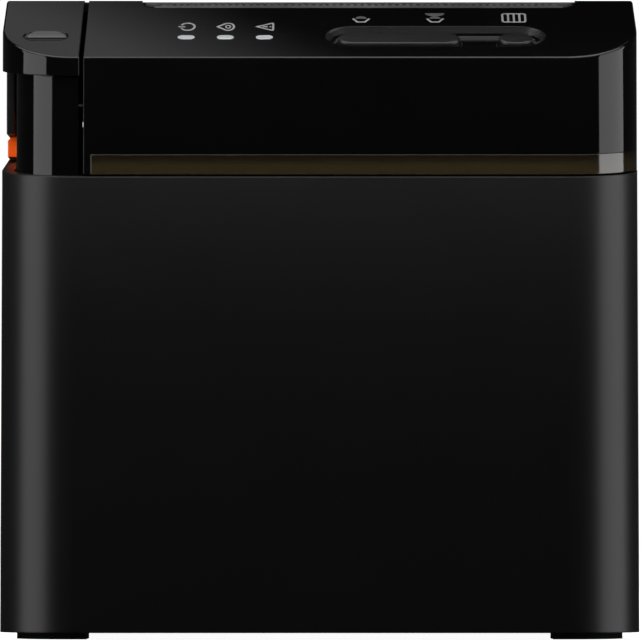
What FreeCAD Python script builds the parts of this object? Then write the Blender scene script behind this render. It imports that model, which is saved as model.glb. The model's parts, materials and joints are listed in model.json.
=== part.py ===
import FreeCAD, Part
import math
import os
import Sketcher

# Desktop receipt printer, in millimetres.
# Z is up, the control panel faces -Y, and the origin is under the middle of the base at the feet.

SIZES = (
    ("side_taper", 0.2, "lean of each base wall from foot to rim"),
    ("corner_radius", 14.55, "corner radius of the base at its foot"),
    ("foot_gap", 1.27, "height of the base above the table"),
    ("rim_height", 89.62, "height of the base rim at the front"),
    ("rim_angle", 8.5, "climb of the base rim and the upper cases towards the rear"),
    ("base_wall", 2.45, "wall of the base at the rim"),
    ("upper_inset", 0.1, "step in from the rim to the upper cases"),
    ("rim_gap", 0.4, "gap between the rim and the upper cases"),
    ("plate_lip", 1.8, "wall of the base outside the bottom plate"),
    ("plate_thickness", 2.5, "bottom plate"),
    ("plate_recess", 0.3, "bottom plate above the foot of the wall"),
    ("plate_clearance", 0.2, "bottom plate to the base lip"),
    ("foot_size", 14.0, "side of a rubber foot"),
    ("foot_inset", 3.3, "rubber foot in from the base edge"),
    ("panel_edge_height", 112.8, "front edge of the sloped panel"),
    ("panel_depth", 27.6, "panel from front edge to ridge, level"),
    ("panel_angle", 26.2, "slope of the panel"),
    ("case_wall", 2.0, "wall of the front case"),
    ("case_edge_radius", 0.6, "round along the panel edge"),
    ("end_wall", 1.5, "left end wall of the front case"),
    ("seam_gap", 0.85, "gap between the release button and the case"),
    ("cap_flat", 1.3, "front of the release button beyond its round corner"),
    ("cap_front", 3.55, "front wall of the release button"),
    ("cap_wall", 1.5, "wall of the release button"),
    ("cap_travel", 2.0, "stroke of the release button"),
    ("groove_length", 8.7, "finger groove in the release button"),
    ("groove_width", 5.11, "finger groove, up the slope"),
    ("groove_depth", 0.8, "depth of the finger groove"),
    ("groove_start", 8.96, "finger groove from the panel edge"),
    ("post_inset", 2.75, "corner post in from the upper cases"),
    ("post_wall", 1.8, "wall of the corner post"),
    ("post_depth", 21.5, "corner post from front to back"),
    ("shelf_drop", 11.3, "corner shelf below the base rim"),
    ("shelf_thickness", 2.0, "corner shelf in the base"),
    ("stem_radius", 3.0, "guide stem of the release button"),
    ("slide_clearance", 0.1, "stem in its guide hole"),
    ("band_height", 3.86, "light band"),
    ("band_depth", 2.0, "light band, from its face inward"),
    ("paper_width", 80.0, "paper roll width"),
    ("roll_radius", 41.5, "largest paper roll"),
    ("notch_margin", 2.95, "exit notch beyond the paper, each side"),
    ("notch_depth", 3.51, "exit notch from the ridge"),
    ("notch_radius", 3.0, "front corners of the exit notch"),
    ("bar_thickness", 0.6, "tear bar steel"),
    ("bar_land", 1.15, "flat of the tear bar in front of its teeth"),
    ("bar_leg", 5.0, "leg of the tear bar behind the panel"),
    ("tooth_height", 1.31, "tear tooth"),
    ("tooth_margin", 0.67, "paper beyond the tear teeth, each side"),
    ("tooth_count", 57.0, "tear teeth"),
    ("trough_start", 5.77, "button trough from the panel edge"),
    ("trough_width", 10.76, "button trough up the slope"),
    ("trough_inset", 18.15, "button trough from the right side of the case"),
    ("trough_length", 42.95, "button trough"),
    ("trough_depth", 1.6, "depth of the button trough"),
    ("trough_floor", 1.0, "floor of the button trough"),
    ("trough_slope", 1.4, "sloping wall of the trough"),
    ("key_width", 5.85, "both keys, up the slope"),
    ("feed_left", 2.35, "feed key from the trough end"),
    ("feed_length", 24.0, "feed key"),
    ("mode_left", 33.8, "mode key from the trough end"),
    ("mode_length", 6.75, "mode key"),
    ("key_gap", 0.3, "key to its hole"),
    ("key_travel", 0.6, "stroke of the keys"),
    ("key_sink", 0.15, "key top below the panel"),
    ("key_flange", 0.8, "key flange under the trough floor"),
    ("lens_length", 3.3, "status lens"),
    ("lens_width", 1.99, "status lens up the slope"),
    ("lens_first", 19.72, "first status lens from the end of the case"),
    ("lens_pitch", 7.65, "status lens spacing"),
    ("lens_up", 10.76, "status lens from the panel edge"),
    ("lens_gap", 0.04, "status lens to its hole"),
    ("board_thickness", 1.6, "circuit boards"),
    ("board_drop", 6.0, "panel board below the panel face"),
    ("lid_gap", 0.6, "gap between the ridge and the lid"),
    ("lid_step", 0.23, "front of the lid below the ridge"),
    ("lid_drop", 2.0, "fall of the lid from front to rear"),
    ("lid_wall", 1.5, "side walls of the lid"),
    ("lid_top", 2.0, "top of the lid"),
    ("lid_round", 1.2, "round along the lid's top edge"),
    ("lid_heel", 1.3, "lower front corners of the lid, cut back to swing clear"),
    ("lever_notch_rise", 5.72, "lid wall above the latch lever, from its lower edge"),
    ("lever_notch_length", 21.5, "notch in the lid wall, from its front"),
    ("lip_thickness", 1.2, "exit lip on the front of the lid"),
    ("lip_height", 8.5, "exit lip"),
    ("hinge_radius", 2.0, "hinge barrel"),
    ("hinge_pin_radius", 1.0, "hinge pin"),
    ("hinge_setback", 1.35, "hinge axis in from the lid's rear face"),
    ("hinge_height", 2.3, "hinge axis above the rim"),
    ("hinge_margin", 2.0, "hinge from the corner rounds, each side"),
    ("hinge_gap", 0.4, "gap between hinge knuckles"),
    ("running_gap", 0.05, "shafts in their bearings"),
    ("platen_radius", 6.0, "rubber of the platen roller"),
    ("platen_drop", 18.9, "platen axis below the ridge"),
    ("paper_setback", 0.35, "paper plane in front of the ridge"),
    ("paper_gap", 0.08, "head to platen"),
    ("shaft_radius", 2.5, "platen shaft"),
    ("bush_radius", 4.0, "platen bushes"),
    ("arm_thickness", 1.8, "arms of the platen bracket"),
    ("gear_module", 0.5, "size of the gear teeth"),
    ("platen_teeth", 24.0, "teeth of the platen gear"),
    ("idler_teeth", 40.0, "teeth of the idler gear"),
    ("pinion_teeth", 14.0, "teeth of the motor pinion"),
    ("gear_width", 4.2, "face width of the gears"),
    ("mesh_gap", 0.06, "extra distance between gear centres"),
    ("backlash", 0.07, "gap on each gear flank"),
    ("pinion_angle", 215.0, "direction from idler to pinion"),
    ("idler_post_radius", 1.5, "post of the idler"),
    ("motor_radius", 12.5, "stepper motor"),
    ("motor_length", 18.0, "stepper motor"),
    ("motor_boss_radius", 4.0, "locating boss of the motor"),
    ("motor_shaft_radius", 1.0, "motor shaft"),
    ("sheet_steel", 1.2, "mechanism frame"),
    ("frame_front", 5.2, "mechanism frame behind the front face"),
    ("frame_back", 9.0, "mechanism frame behind the platen axis"),
    ("frame_rise", 2.3, "top of the mechanism frame above the platen axis"),
    ("motor_gap", 0.95, "motor to the frame below it"),
    ("gear_room", 2.55, "gears to the end of the front case"),
    ("bucket_gap", 0.8, "roll bucket beyond the roll, all round"),
    ("bucket_side", 1.5, "roll bucket beyond the paper, each side"),
    ("bucket_wall", 1.8, "wall of the roll bucket"),
    ("bucket_drop", 5.3, "rim of the roll bucket below the base rim"),
    ("bucket_lip", 8.0, "front wall of the roll bucket above its deck"),
    ("bucket_setback", 5.55, "roll bucket behind the ridge"),
    ("bucket_clearance", 0.85, "roll bucket to the rear wall"),
    ("bucket_room", 3.3, "roll bucket above the main board"),
    ("head_thickness", 2.6, "heat sink of the print head"),
    ("head_below", 10.5, "heat sink below the platen axis"),
    ("head_above", 4.5, "heat sink above the platen axis"),
    ("sensor_width", 5.0, "cover sensor"),
    ("sensor_room", 2.75, "cover sensor to the wall of the front case"),
    ("head_margin", 0.6, "print head beyond the paper, each side"),
    ("strip_thickness", 0.6, "ceramic strip of the print head"),
    ("strip_height", 8.0, "ceramic strip of the print head"),
    ("head_pin_radius", 1.5, "pivot of the print head"),
    ("head_pin_drop", 7.9, "pivot of the print head below the platen axis"),
    ("head_spring_radius", 2.4, "springs behind the print head"),
    ("spring_bar_gap", 7.0, "cross bar in front of the print head"),
    ("latch_x", 5.25, "latch pivot in from the upper case"),
    ("latch_drop", 7.3, "latch pivot below the base rim"),
    ("wedge_drop", 12.3, "latch arm below the front edge of the panel"),
    ("latch_pin_radius", 1.25, "latch pivot pin"),
    ("latch_barrel", 2.4, "barrel of the latch lever"),
    ("latch_plate", 2.0, "upright of the latch lever"),
    ("latch_width", 14.0, "latch lever from front to back"),
    ("latch_setback", 5.55, "latch lever behind the lid front"),
    ("tab_rise", 1.02, "lever tab above the rim"),
    ("tab_height", 3.76, "lever tab"),
    ("tab_width", 6.0, "lever tab from front to back"),
    ("tab_inset", -0.05, "lever tab in from the upper case"),
    ("catch_rise", 24.5, "underside of the lid catch above the latch pivot"),
    ("catch_depth", 2.0, "lid catch, up and down"),
    ("catch_reach", 1.1, "lid catch, from the lid wall"),
    ("hook_gap", 0.35, "latch hook to the lid catch"),
    ("standoff_height", 3.37, "main board above the bottom plate"),
    ("port_reach", 1.4, "ports beyond the inside of the rear wall"),
    ("window_margin", 1.0, "paper beyond the window for the ports, each side"),
    ("window_drop", 1.0, "window for the ports below the main board"),
    ("window_height", 18.0, "window for the ports"),
    ("switch_gap", 6.45, "power switch beside the roll bucket"),
    ("switch_height", 32.0, "middle of the power switch"),
    ("switch_width", 11.0, "power switch"),
    ("switch_tall", 19.0, "power switch"),
    ("switch_frame", 1.2, "bezel of the power switch"),
    ("rocker_tilt", 7.0, "rocker at rest"),
    ("screw_radius", 1.25, "screw threads"),
    ("screw_head_radius", 2.5, "screw heads"),
    ("screw_head_height", 1.6, "screw heads"),
    ("boss_radius", 4.4, "screw bosses in the base"),
    ("boss_inset", 6.3, "screw bosses in from the base cavity"),
    ("boss_height", 16.0, "screw bosses in the base"),
    ("screw_length", 9.0, "bottom screws in the bosses"),
)


class Size:
    """A measure taken from the sheet, with the expression that gives it."""

    def __init__(self, value, text):
        self.value = float(value)
        self.text = text

    def __float__(self):
        return self.value

    def __add__(self, other):
        other = size(other)
        return Size(self.value + other.value, f"({self.text} + {other.text})")

    def __radd__(self, other):
        return size(other) + self

    def __sub__(self, other):
        other = size(other)
        return Size(self.value - other.value, f"({self.text} - {other.text})")

    def __rsub__(self, other):
        return size(other) - self

    def __mul__(self, other):
        other = size(other)
        return Size(self.value * other.value, f"({self.text} * {other.text})")

    def __rmul__(self, other):
        return size(other) * self

    def __rtruediv__(self, other):
        return size(other) / self

    def __truediv__(self, other):
        other = size(other)
        return Size(self.value / other.value, f"({self.text} / {other.text})")

    def __neg__(self):
        return Size(-self.value, f"(0 - {self.text})")


def size(value):
    return value if isinstance(value, Size) else Size(value, f"{float(value):.6f}")


def tan(angle):
    return Size(math.tan(math.radians(angle.value)), f"tan({angle.text})")


def cos(angle):
    return Size(math.cos(math.radians(angle.value)), f"cos({angle.text})")


def sin(angle):
    return Size(math.sin(math.radians(angle.value)), f"sin({angle.text})")


doc = FreeCAD.newDocument("ReceiptPrinter")
sheet = doc.addObject("Spreadsheet::Sheet", "Sizes")
for row, (alias, value, note) in enumerate(SIZES, 1):
    sheet.set(f"A{row}", alias)
    sheet.set(f"B{row}", str(value))
    sheet.set(f"C{row}", note)
    sheet.setAlias(f"B{row}", alias)
doc.recompute()


class Sheet:
    pass


d = Sheet()
for alias, value, note in SIZES:
    setattr(d, alias, Size(sheet.get(alias), f"Sizes.{alias}"))

places = doc.addObject("Spreadsheet::Sheet", "Places")
pieces = []


def place(alias, value):
    """Keeps a measure that follows from others in a cell of its own."""
    row = len(places.getNonEmptyCells()) // 2 + 1
    places.set(f"A{row}", alias)
    places.set(f"B{row}", "=" + value.text.replace("Places.", ""))
    places.setAlias(f"B{row}", alias)
    return Size(value.value, f"Places.{alias}")


def piece(item, label):
    item.Label = label
    pieces.append(item)
    return item


def bind(item, **links):
    for name, value in links.items():
        item.setExpression(name.replace("__", "."), size(value).text)


def box(name, x, y, z):
    item = doc.addObject("Part::Box", name)
    bind(item, Length=x[1] - x[0], Width=y[1] - y[0], Height=z[1] - z[0])
    bind(item, Placement__Base__x=x[0], Placement__Base__y=y[0], Placement__Base__z=z[0])
    return item


TURN = {"x": FreeCAD.Rotation(FreeCAD.Vector(0, 1, 0), 90),
        "y": FreeCAD.Rotation(FreeCAD.Vector(1, 0, 0), -90),
        "z": FreeCAD.Rotation()}


def rod(name, along, radius, start, end, across):
    item = doc.addObject("Part::Cylinder", name)
    item.Placement = FreeCAD.Placement(FreeCAD.Vector(), TURN[along])
    bind(item, Radius=radius, Height=end - start)
    base = {"x": (start, across[0], across[1]),
            "y": (across[0], start, across[1]),
            "z": (across[0], across[1], start)}[along]
    bind(item, Placement__Base__x=base[0], Placement__Base__y=base[1],
         Placement__Base__z=base[2])
    return item


def fuse(name, items):
    item = doc.addObject("Part::MultiFuse", name)
    item.Shapes = items
    item.Refine = True
    return item


def cut(name, base, tools):
    item = doc.addObject("Part::Cut", name)
    item.Base = base
    item.Tool = tools[0] if len(tools) == 1 else fuse(name + "_tools", tools)
    item.Refine = True
    return item


def group(name, items):
    item = doc.addObject("Part::Compound", name)
    item.Links = items
    return item


def new_body(name):
    return doc.addObject("PartDesign::Body", name)


def arc_between(a, b, radius, ccw):
    middle = (a + b) * 0.5
    step = b - a
    rise = math.sqrt(max(radius ** 2 - step.Length ** 2 / 4, 0.0))
    side = FreeCAD.Vector(-step.y, step.x, 0) / step.Length
    centre = middle + side * (rise if ccw else -rise)
    first = math.atan2(a.y - centre.y, a.x - centre.x)
    last = math.atan2(b.y - centre.y, b.x - centre.x)
    circle = Part.Circle(centre, FreeCAD.Vector(0, 0, 1), radius)
    if not ccw:
        first, last = last, first
    return Part.ArcOfCircle(circle, first, last)


def sketch_on(body, name, plane, offset):
    sketch = body.newObject("Sketcher::SketchObject", name)
    support = [f for f in body.Origin.OriginFeatures if f.Role == plane + "_Plane"][0]
    sketch.AttachmentSupport = [(support, "")]
    sketch.MapMode = "FlatFace"
    bind(sketch, AttachmentOffset__Base__z=offset)
    return sketch


def hold(sketch, constraint, value):
    index = sketch.addConstraint(constraint)
    sketch.setExpression(f"Constraints[{index}]", size(value).text)


def outline(body, name, plane, offset, path):
    """A closed sketch. A corner is (across, up), or (across, up, radius, ccw) where an arc leaves it."""
    sketch = sketch_on(body, name, plane, offset)
    count = len(path)
    corners = [FreeCAD.Vector(float(p[0]), float(p[1]), 0) for p in path]
    for k, p in enumerate(path):
        a, b = corners[k], corners[(k + 1) % count]
        line = len(p) == 2
        sketch.addGeometry(Part.LineSegment(a, b) if line
                           else arc_between(a, b, float(p[2]), p[3]))
    forward = [len(p) == 2 or p[3] for p in path]
    for k in range(count):
        after = (k + 1) % count
        sketch.addConstraint(Sketcher.Constraint(
            "Coincident", k, 2 if forward[k] else 1, after, 1 if forward[after] else 2))
    for k, p in enumerate(path):
        end = 1 if forward[k] else 2
        hold(sketch, Sketcher.Constraint("DistanceX", -1, 1, k, end, float(p[0])), p[0])
        hold(sketch, Sketcher.Constraint("DistanceY", -1, 1, k, end, float(p[1])), p[1])
        if len(p) > 2:
            hold(sketch, Sketcher.Constraint("Radius", k, float(p[2])), p[2])
    return sketch


def ring(body, name, plane, offset, centre, radius):
    sketch = sketch_on(body, name, plane, offset)
    middle = FreeCAD.Vector(float(centre[0]), float(centre[1]), 0)
    sketch.addGeometry(Part.Circle(middle, FreeCAD.Vector(0, 0, 1), float(radius)))
    hold(sketch, Sketcher.Constraint("DistanceX", -1, 1, 0, 3, middle.x), centre[0])
    hold(sketch, Sketcher.Constraint("DistanceY", -1, 1, 0, 3, middle.y), centre[1])
    hold(sketch, Sketcher.Constraint("Radius", 0, float(radius)), radius)
    return sketch


def draw(body, name, plane, offset, shape):
    if isinstance(shape, tuple):
        return ring(body, name, plane, offset, shape[0], shape[1])
    return outline(body, name, plane, offset, shape)


def pad(body, name, plane, shape, start, end):
    """Adds a prism of the outline, or of the circle (centre, radius), from start to end."""
    start, end = size(start), size(end)
    sketch = draw(body, name + "_sketch", plane, -end if plane == "XZ" else start, shape)
    item = body.newObject("PartDesign::Pad", name)
    item.Profile = sketch
    bind(item, Length=end - start)
    return item


def pocket(body, name, plane, shape, start, end):
    """Cuts a prism of the outline, or of the circle (centre, radius), from start to end."""
    start, end = size(start), size(end)
    sketch = draw(body, name + "_sketch", plane, -start if plane == "XZ" else end, shape)
    item = body.newObject("PartDesign::Pocket", name)
    item.Profile = sketch
    bind(item, Length=end - start)
    return item


def edges_where(item, test):
    doc.recompute()
    return [f"Edge{n}" for n, edge in enumerate(item.Shape.Edges, 1) if test(edge)]


def round_edges(body, name, base, radius, test):
    item = body.newObject("PartDesign::Fillet", name)
    item.Base = (base, edges_where(base, test))
    bind(item, Radius=radius)
    return item


def bevel_edges(body, name, base, width, test):
    item = body.newObject("PartDesign::Chamfer", name)
    item.Base = (base, edges_where(base, test))
    bind(item, Size=width)
    return item


def rectangle(x, y):
    return [(x[0], y[0]), (x[1], y[0]), (x[1], y[1]), (x[0], y[1])]


def rounded(x, y, r):
    return [(x[0] + r, y[0]), (x[1] - r, y[0], r, True), (x[1], y[0] + r),
            (x[1], y[1] - r, r, True), (x[1] - r, y[1]), (x[0] + r, y[1], r, True),
            (x[0], y[1] - r), (x[0], y[0] + r, r, True)]


def pill(x, y):
    r = (y[1] - y[0]) / 2
    return [(x[0] + r, y[0]), (x[1] - r, y[0], r, True), (x[1], y[0] + r, r, True),
            (x[1] - r, y[1]), (x[0] + r, y[1], r, True), (x[0], y[0] + r, r, True)]


def left_front(x, y, r):
    """A plan with its left front corner rounded."""
    return [(x[0] + r, y[0]), (x[1], y[0]), (x[1], y[1]), (x[0], y[1]),
            (x[0], y[0] + r, r, True)]


def right_front(x, y, r):
    return [(x[0], y[0]), (x[1] - r, y[0], r, True), (x[1], y[0] + r), (x[1], y[1]),
            (x[0], y[1])]


def rear_corners(x, y, r):
    return [(x[0], y[0]), (x[1], y[0]), (x[1], y[1] - r, r, True), (x[1] - r, y[1]),
            (x[0] + r, y[1], r, True), (x[0], y[1] - r)]


# Where the main surfaces lie.
rim_r = place("rim_r", d.corner_radius - d.side_taper)
cavity_r = place("cavity_r", rim_r - d.base_wall)
upper_r = place("upper_r", rim_r - d.upper_inset)

# Across, the drive lies left of the paper and the cover sensor right of it.
lean = place("lean", d.side_taper + d.upper_inset)
bucket_edge = place("bucket_edge", d.bucket_side + d.bucket_wall + 0.25 + d.sheet_steel)
drive_room = place("drive_room", lean + upper_r + d.cap_flat + d.seam_gap + d.end_wall
                   + d.gear_room + d.gear_width + 0.6 + bucket_edge)
sensor_side = place("sensor_side", bucket_edge + d.sensor_width + d.sensor_room + d.case_wall
                    + lean)
half_width = place("half_width", (drive_room + d.paper_width + sensor_side) / 2)
paper_left = place("paper_left", drive_room - half_width)
paper_right = place("paper_right", half_width - sensor_side)
paper_centre = place("paper_centre", (paper_left + paper_right) / 2)
rim_x = place("rim_x", half_width - d.side_taper)
cavity_x = place("cavity_x", rim_x - d.base_wall)
upper_x = place("upper_x", half_width - lean)
cap_right = place("cap_right", -upper_x + upper_r + d.cap_flat)
case_left = place("case_left", cap_right + d.seam_gap)
bucket_left = place("bucket_left", paper_left - d.bucket_side)
bucket_right = place("bucket_right", paper_right + d.bucket_side)
wall_left = place("wall_left", bucket_left - d.bucket_wall)
wall_right = place("wall_right", bucket_right + d.bucket_wall)
steel_left = place("steel_left", wall_left - 0.25)
steel_right = place("steel_right", wall_right + 0.25)
gear_right = place("gear_right", steel_left - d.sheet_steel - 0.6)
gear_left = place("gear_left", gear_right - d.gear_width)
trough_left = place("trough_left", upper_x - d.trough_inset - d.trough_length)
lens_first = place("lens_first_x", case_left + d.lens_first)
notch_x = (place("notch_left", paper_left - d.notch_margin),
           place("notch_right", paper_right + d.notch_margin))
tooth_pitch = place("tooth_pitch", (d.paper_width - 2 * d.tooth_margin) / d.tooth_count)
switch_x = place("switch_place", wall_left - d.switch_gap)
hinge_span = place("hinge_length", 2 * (upper_x - upper_r - d.hinge_margin))
knuckle = place("knuckle", hinge_span / 5)

# From front to back, the panel comes first and the roll bucket lies behind it.
bucket_radius = place("bucket_radius", d.roll_radius + d.bucket_gap + d.bucket_wall)
half_depth = place("half_depth", (lean + d.panel_depth + d.bucket_setback + 2 * bucket_radius
                                  + d.bucket_clearance + d.base_wall + d.side_taper) / 2)
rim_y = place("rim_y", half_depth - d.side_taper)
cavity_y = place("cavity_y", rim_y - d.base_wall)
upper_y = place("upper_y", half_depth - lean)
front = place("front", -upper_y)
ridge_y = place("ridge_y", front + d.panel_depth)
lid_front = place("lid_front", ridge_y + d.lid_gap)
roll_y = place("roll_y", cavity_y - d.bucket_clearance - bucket_radius)
hinge_y = place("hinge_y", upper_y - d.hinge_setback)
paper_y = place("paper_y", ridge_y - d.paper_setback)
platen_y = place("platen_y", paper_y + d.paper_gap + d.platen_radius)
frame_y = (place("frame_near", front + d.frame_front),
           place("frame_far", platen_y + d.frame_back))
head_back = place("head_back", paper_y - d.strip_thickness)
head_front = place("head_front", head_back - d.head_thickness)
head_pin_y = place("head_pin_y", head_front - 0.4)
bar_y = place("bar_y", head_front - d.spring_bar_gap)
latch_y = (place("latch_near", lid_front + d.latch_setback),
           place("latch_far", lid_front + d.latch_setback + d.latch_width))
latch_x = place("latch_pivot", -upper_x + d.latch_x)
catch_x = place("catch_edge", -upper_x + d.lid_wall + d.catch_reach)

# Up from the table.
plate_bottom = place("plate_bottom", d.foot_gap + d.plate_recess)
plate_top = place("plate_top", plate_bottom + d.plate_thickness)
board_z = (place("board_low", plate_top + d.standoff_height),
           place("board_high", plate_top + d.standoff_height + d.board_thickness))
roll_height = place("roll_height", board_z[1] + d.bucket_room + bucket_radius)
rim_slope = place("rim_slope", tan(d.rim_angle))
rim_rear = place("rim_rear", d.rim_height + (upper_y - front) * rim_slope)
crest_z = place("crest_z", rim_rear + 2)
crest_lean = place("crest_lean", d.side_taper * (crest_z - d.foot_gap)
                   / (d.rim_height - d.foot_gap))
upper_z = place("upper_z", d.rim_height + d.rim_gap)
band_top = place("band_top", upper_z + d.band_height)
slope = place("slope", tan(d.panel_angle))
steep = place("steep", cos(d.panel_angle))
ridge_z = place("ridge_z", d.panel_edge_height + d.panel_depth * slope)
over_z = place("over_z", ridge_z + 6)
cap_skirt = place("cap_skirt", d.panel_edge_height - d.cap_front)
lid_top_z = place("lid_top_z", ridge_z - d.lid_step)
lid_fall = place("lid_fall", d.lid_drop / (upper_y - lid_front))
lever_notch = place("lever_notch", upper_z + (lid_front - front) * rim_slope
                    + d.lever_notch_rise)
hinge_z = place("hinge_z", rim_rear + d.hinge_height)
shelf_height = place("shelf_height", d.rim_height - d.shelf_drop)
latch_height = place("latch_height", d.rim_height - d.latch_drop)
catch_height = place("catch_height", latch_height + d.catch_rise)
bucket_top = place("bucket_top", d.rim_height - d.bucket_drop)
platen_height = place("platen_height", ridge_z - d.platen_drop)
frame_top = place("frame_top", platen_height + d.frame_rise)
head_z = (place("head_bottom", platen_height - d.head_below),
          place("head_top", platen_height + d.head_above))
head_pin_z = place("head_pin_z", platen_height - d.head_pin_drop)
pitch_platen = place("pitch_platen", d.gear_module * d.platen_teeth / 2)
pitch_idler = place("pitch_idler", d.gear_module * d.idler_teeth / 2)
pitch_pinion = place("pitch_pinion", d.gear_module * d.pinion_teeth / 2)
idler_y = platen_y
idler_z = place("idler_z", platen_height - pitch_platen - pitch_idler - d.mesh_gap)
pinion_reach = place("pinion_reach", pitch_idler + pitch_pinion + d.mesh_gap)
pinion_y = place("pinion_y", idler_y + pinion_reach * cos(d.pinion_angle))
pinion_z = place("pinion_z", idler_z + pinion_reach * sin(d.pinion_angle))
deck_height = place("deck_height", pinion_z - d.motor_radius - d.motor_gap - d.sheet_steel)
bucket_front = place("bucket_front", deck_height + d.bucket_lip)

# The main board and its ports.
board_x = (place("board_left", bucket_left + 2), place("board_right", bucket_right - 2))
board_y = (place("board_near", -cavity_y + 34), place("board_far", cavity_y - 3))
port_y = place("port_y", cavity_y + d.port_reach)
window_x = (place("window_left", paper_left + d.window_margin),
            place("window_right", paper_right - d.window_margin))
window_z = (place("window_low", board_z[0] - d.window_drop),
            place("window_high", board_z[0] - d.window_drop + d.window_height))
doc.recompute()


def panel_z(y, drop=0.0):
    """Height of the plane that lies square below the sloped panel by drop."""
    return d.panel_edge_height + (y - front) * slope - drop / steep


def lid_z(y, drop=0.0):
    return lid_top_z - (y - lid_front) * lid_fall - drop


def rise(y):
    """Climb of the rim and of the upper cases from the front to y."""
    return (y - front) * rim_slope


def on_panel(item):
    """Tilts a piece drawn flat onto the panel: across, up the slope, out of the face."""
    item.Placement = FreeCAD.Placement(
        FreeCAD.Vector(), FreeCAD.Rotation(FreeCAD.Vector(1, 0, 0), float(d.panel_angle)))
    bind(item, Placement__Base__y=front, Placement__Base__z=d.panel_edge_height,
         Placement__Rotation__Angle=d.panel_angle)
    return item


def sloped_block(name, plan, bottom, height_at, x, y, climbs=False):
    """A prism of the plan up to the slanted top that height_at gives. Its foot may climb too."""
    body = new_body(name)
    pad(body, name + "_block", "XY", plan, bottom - 1 if climbs else bottom, over_z)
    near, far = y[0] - 2, y[1] + 2
    if climbs:
        under = [(near, bottom - 2), (far, bottom - 2), (far, bottom + rise(far)),
                 (near, bottom + rise(near))]
        pocket(body, name + "_foot", "YZ", under, x[0] - 2, x[1] + 2)
    above = [(near, height_at(near)), (far, height_at(far)), (far, over_z + 2),
             (near, over_z + 2)]
    pocket(body, name + "_slope", "YZ", above, x[0] - 2, x[1] + 2)
    return body


def along_top(edge, height_at, skip):
    """True for an edge that lies in the slanted top, except where skip says not."""
    points = [edge.valueAt(edge.FirstParameter + t * (edge.LastParameter - edge.FirstParameter))
              for t in (0.0, 0.5, 1.0)]
    level = all(abs(p.z - float(height_at(size(p.y)))) < 0.01 for p in points)
    return level and not all(skip(p) for p in points)


def base_shell():
    body = new_body("base_body")
    low = outline(body, "foot_line", "XY", d.foot_gap,
                  rounded((-half_width, half_width), (-half_depth, half_depth), d.corner_radius))
    crest_x, crest_y = half_width - crest_lean, half_depth - crest_lean
    high = outline(body, "crest_line", "XY", crest_z,
                   rounded((-crest_x, crest_x), (-crest_y, crest_y),
                           d.corner_radius - crest_lean))
    wall = body.newObject("PartDesign::AdditiveLoft", "base_wall")
    wall.Profile = low
    wall.Sections = [high]
    wall.Ruled = True
    pocket(body, "base_cavity", "XY", rounded((-cavity_x, cavity_x), (-cavity_y, cavity_y),
           cavity_r), d.foot_gap - 1, crest_z + 1)
    near, far = -half_depth - 2, half_depth + 2
    above = [(near, d.rim_height + rise(near)), (far, d.rim_height + rise(far)),
             (far, crest_z + 2), (near, crest_z + 2)]
    pocket(body, "base_rim", "YZ", above, -half_width - 2, half_width + 2)
    lip_x = half_width - d.plate_lip
    lip_y = half_depth - d.plate_lip
    pocket(body, "plate_seat", "XY", rounded((-lip_x, lip_x), (-lip_y, lip_y),
           d.corner_radius - d.plate_lip), d.foot_gap - 1, plate_top)
    for n, (sx, sy) in enumerate(((-1, -1), (1, -1), (1, 1), (-1, 1))):
        spot = (sx * (cavity_x - d.boss_inset), sy * (cavity_y - d.boss_inset))
        pad(body, f"boss_{n}", "XY", (spot, d.boss_radius), plate_top, plate_top + d.boss_height)
        pocket(body, f"boss_bore_{n}", "XY", (spot, d.screw_radius), plate_top - 1,
               plate_top + d.screw_length + 1)
    shelf = left_front((-cavity_x - 1, cap_right), (-cavity_y - 1, front + d.post_inset
                       + d.post_depth), cavity_r + 1)
    pad(body, "post_shelf", "XY", shelf, shelf_height - d.shelf_thickness, shelf_height)
    pocket(body, "shelf_hole", "XY", (stem_spot(), d.screw_radius + 0.3), shelf_height - 5,
           shelf_height + 1)
    for n, y in enumerate(((latch_y[0] - 2.2, latch_y[0] - 0.4), (latch_y[1] + 0.4,
                                                                 latch_y[1] + 2.2))):
        ear = [(-cavity_x - 1, latch_height - 3), (latch_x + 2.6, latch_height - 3),
               (latch_x + 2.6, latch_height + 3), (-cavity_x - 1, latch_height + 3)]
        pad(body, f"latch_ear_{n}", "XZ", ear, y[0], y[1])
        pocket(body, f"latch_ear_bore_{n}", "XZ", ((latch_x, latch_height),
               d.latch_pin_radius), y[0] - 0.1, y[1] + 0.1)
    for n in (0, 2, 4):
        x = (n * knuckle - hinge_span / 2, (n + 1) * knuckle - hinge_span / 2)
        web = rectangle((cavity_y, rim_y), (rim_rear - 1.5, hinge_z))
        pad(body, f"hinge_web_{n}", "YZ", web, x[0], x[1])
        pad(body, f"hinge_barrel_{n}", "YZ", ((hinge_y, hinge_z), d.hinge_radius), x[0], x[1])
        pocket(body, f"hinge_bore_{n}", "YZ", ((hinge_y, hinge_z), d.hinge_pin_radius),
               x[0] - 0.1, x[1] + 0.1)
    pocket(body, "port_window", "XZ", rounded(window_x, window_z, size(1.5)), cavity_y - 1,
           half_depth + 1)
    hole_x = (switch_x - d.switch_width / 2, switch_x + d.switch_width / 2)
    hole_z = (d.switch_height - d.switch_tall / 2, d.switch_height + d.switch_tall / 2)
    pocket(body, "switch_window", "XZ", rectangle(hole_x, hole_z), cavity_y - 1, half_depth + 1)
    frame_x = (hole_x[0] - d.switch_frame, hole_x[1] + d.switch_frame)
    frame_z = (hole_z[0] - d.switch_frame, hole_z[1] + d.switch_frame)
    pocket(body, "switch_seat", "XZ", rectangle(frame_x, frame_z), rim_y - 0.6, half_depth + 1)
    return piece(body, "base_shell")


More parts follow.
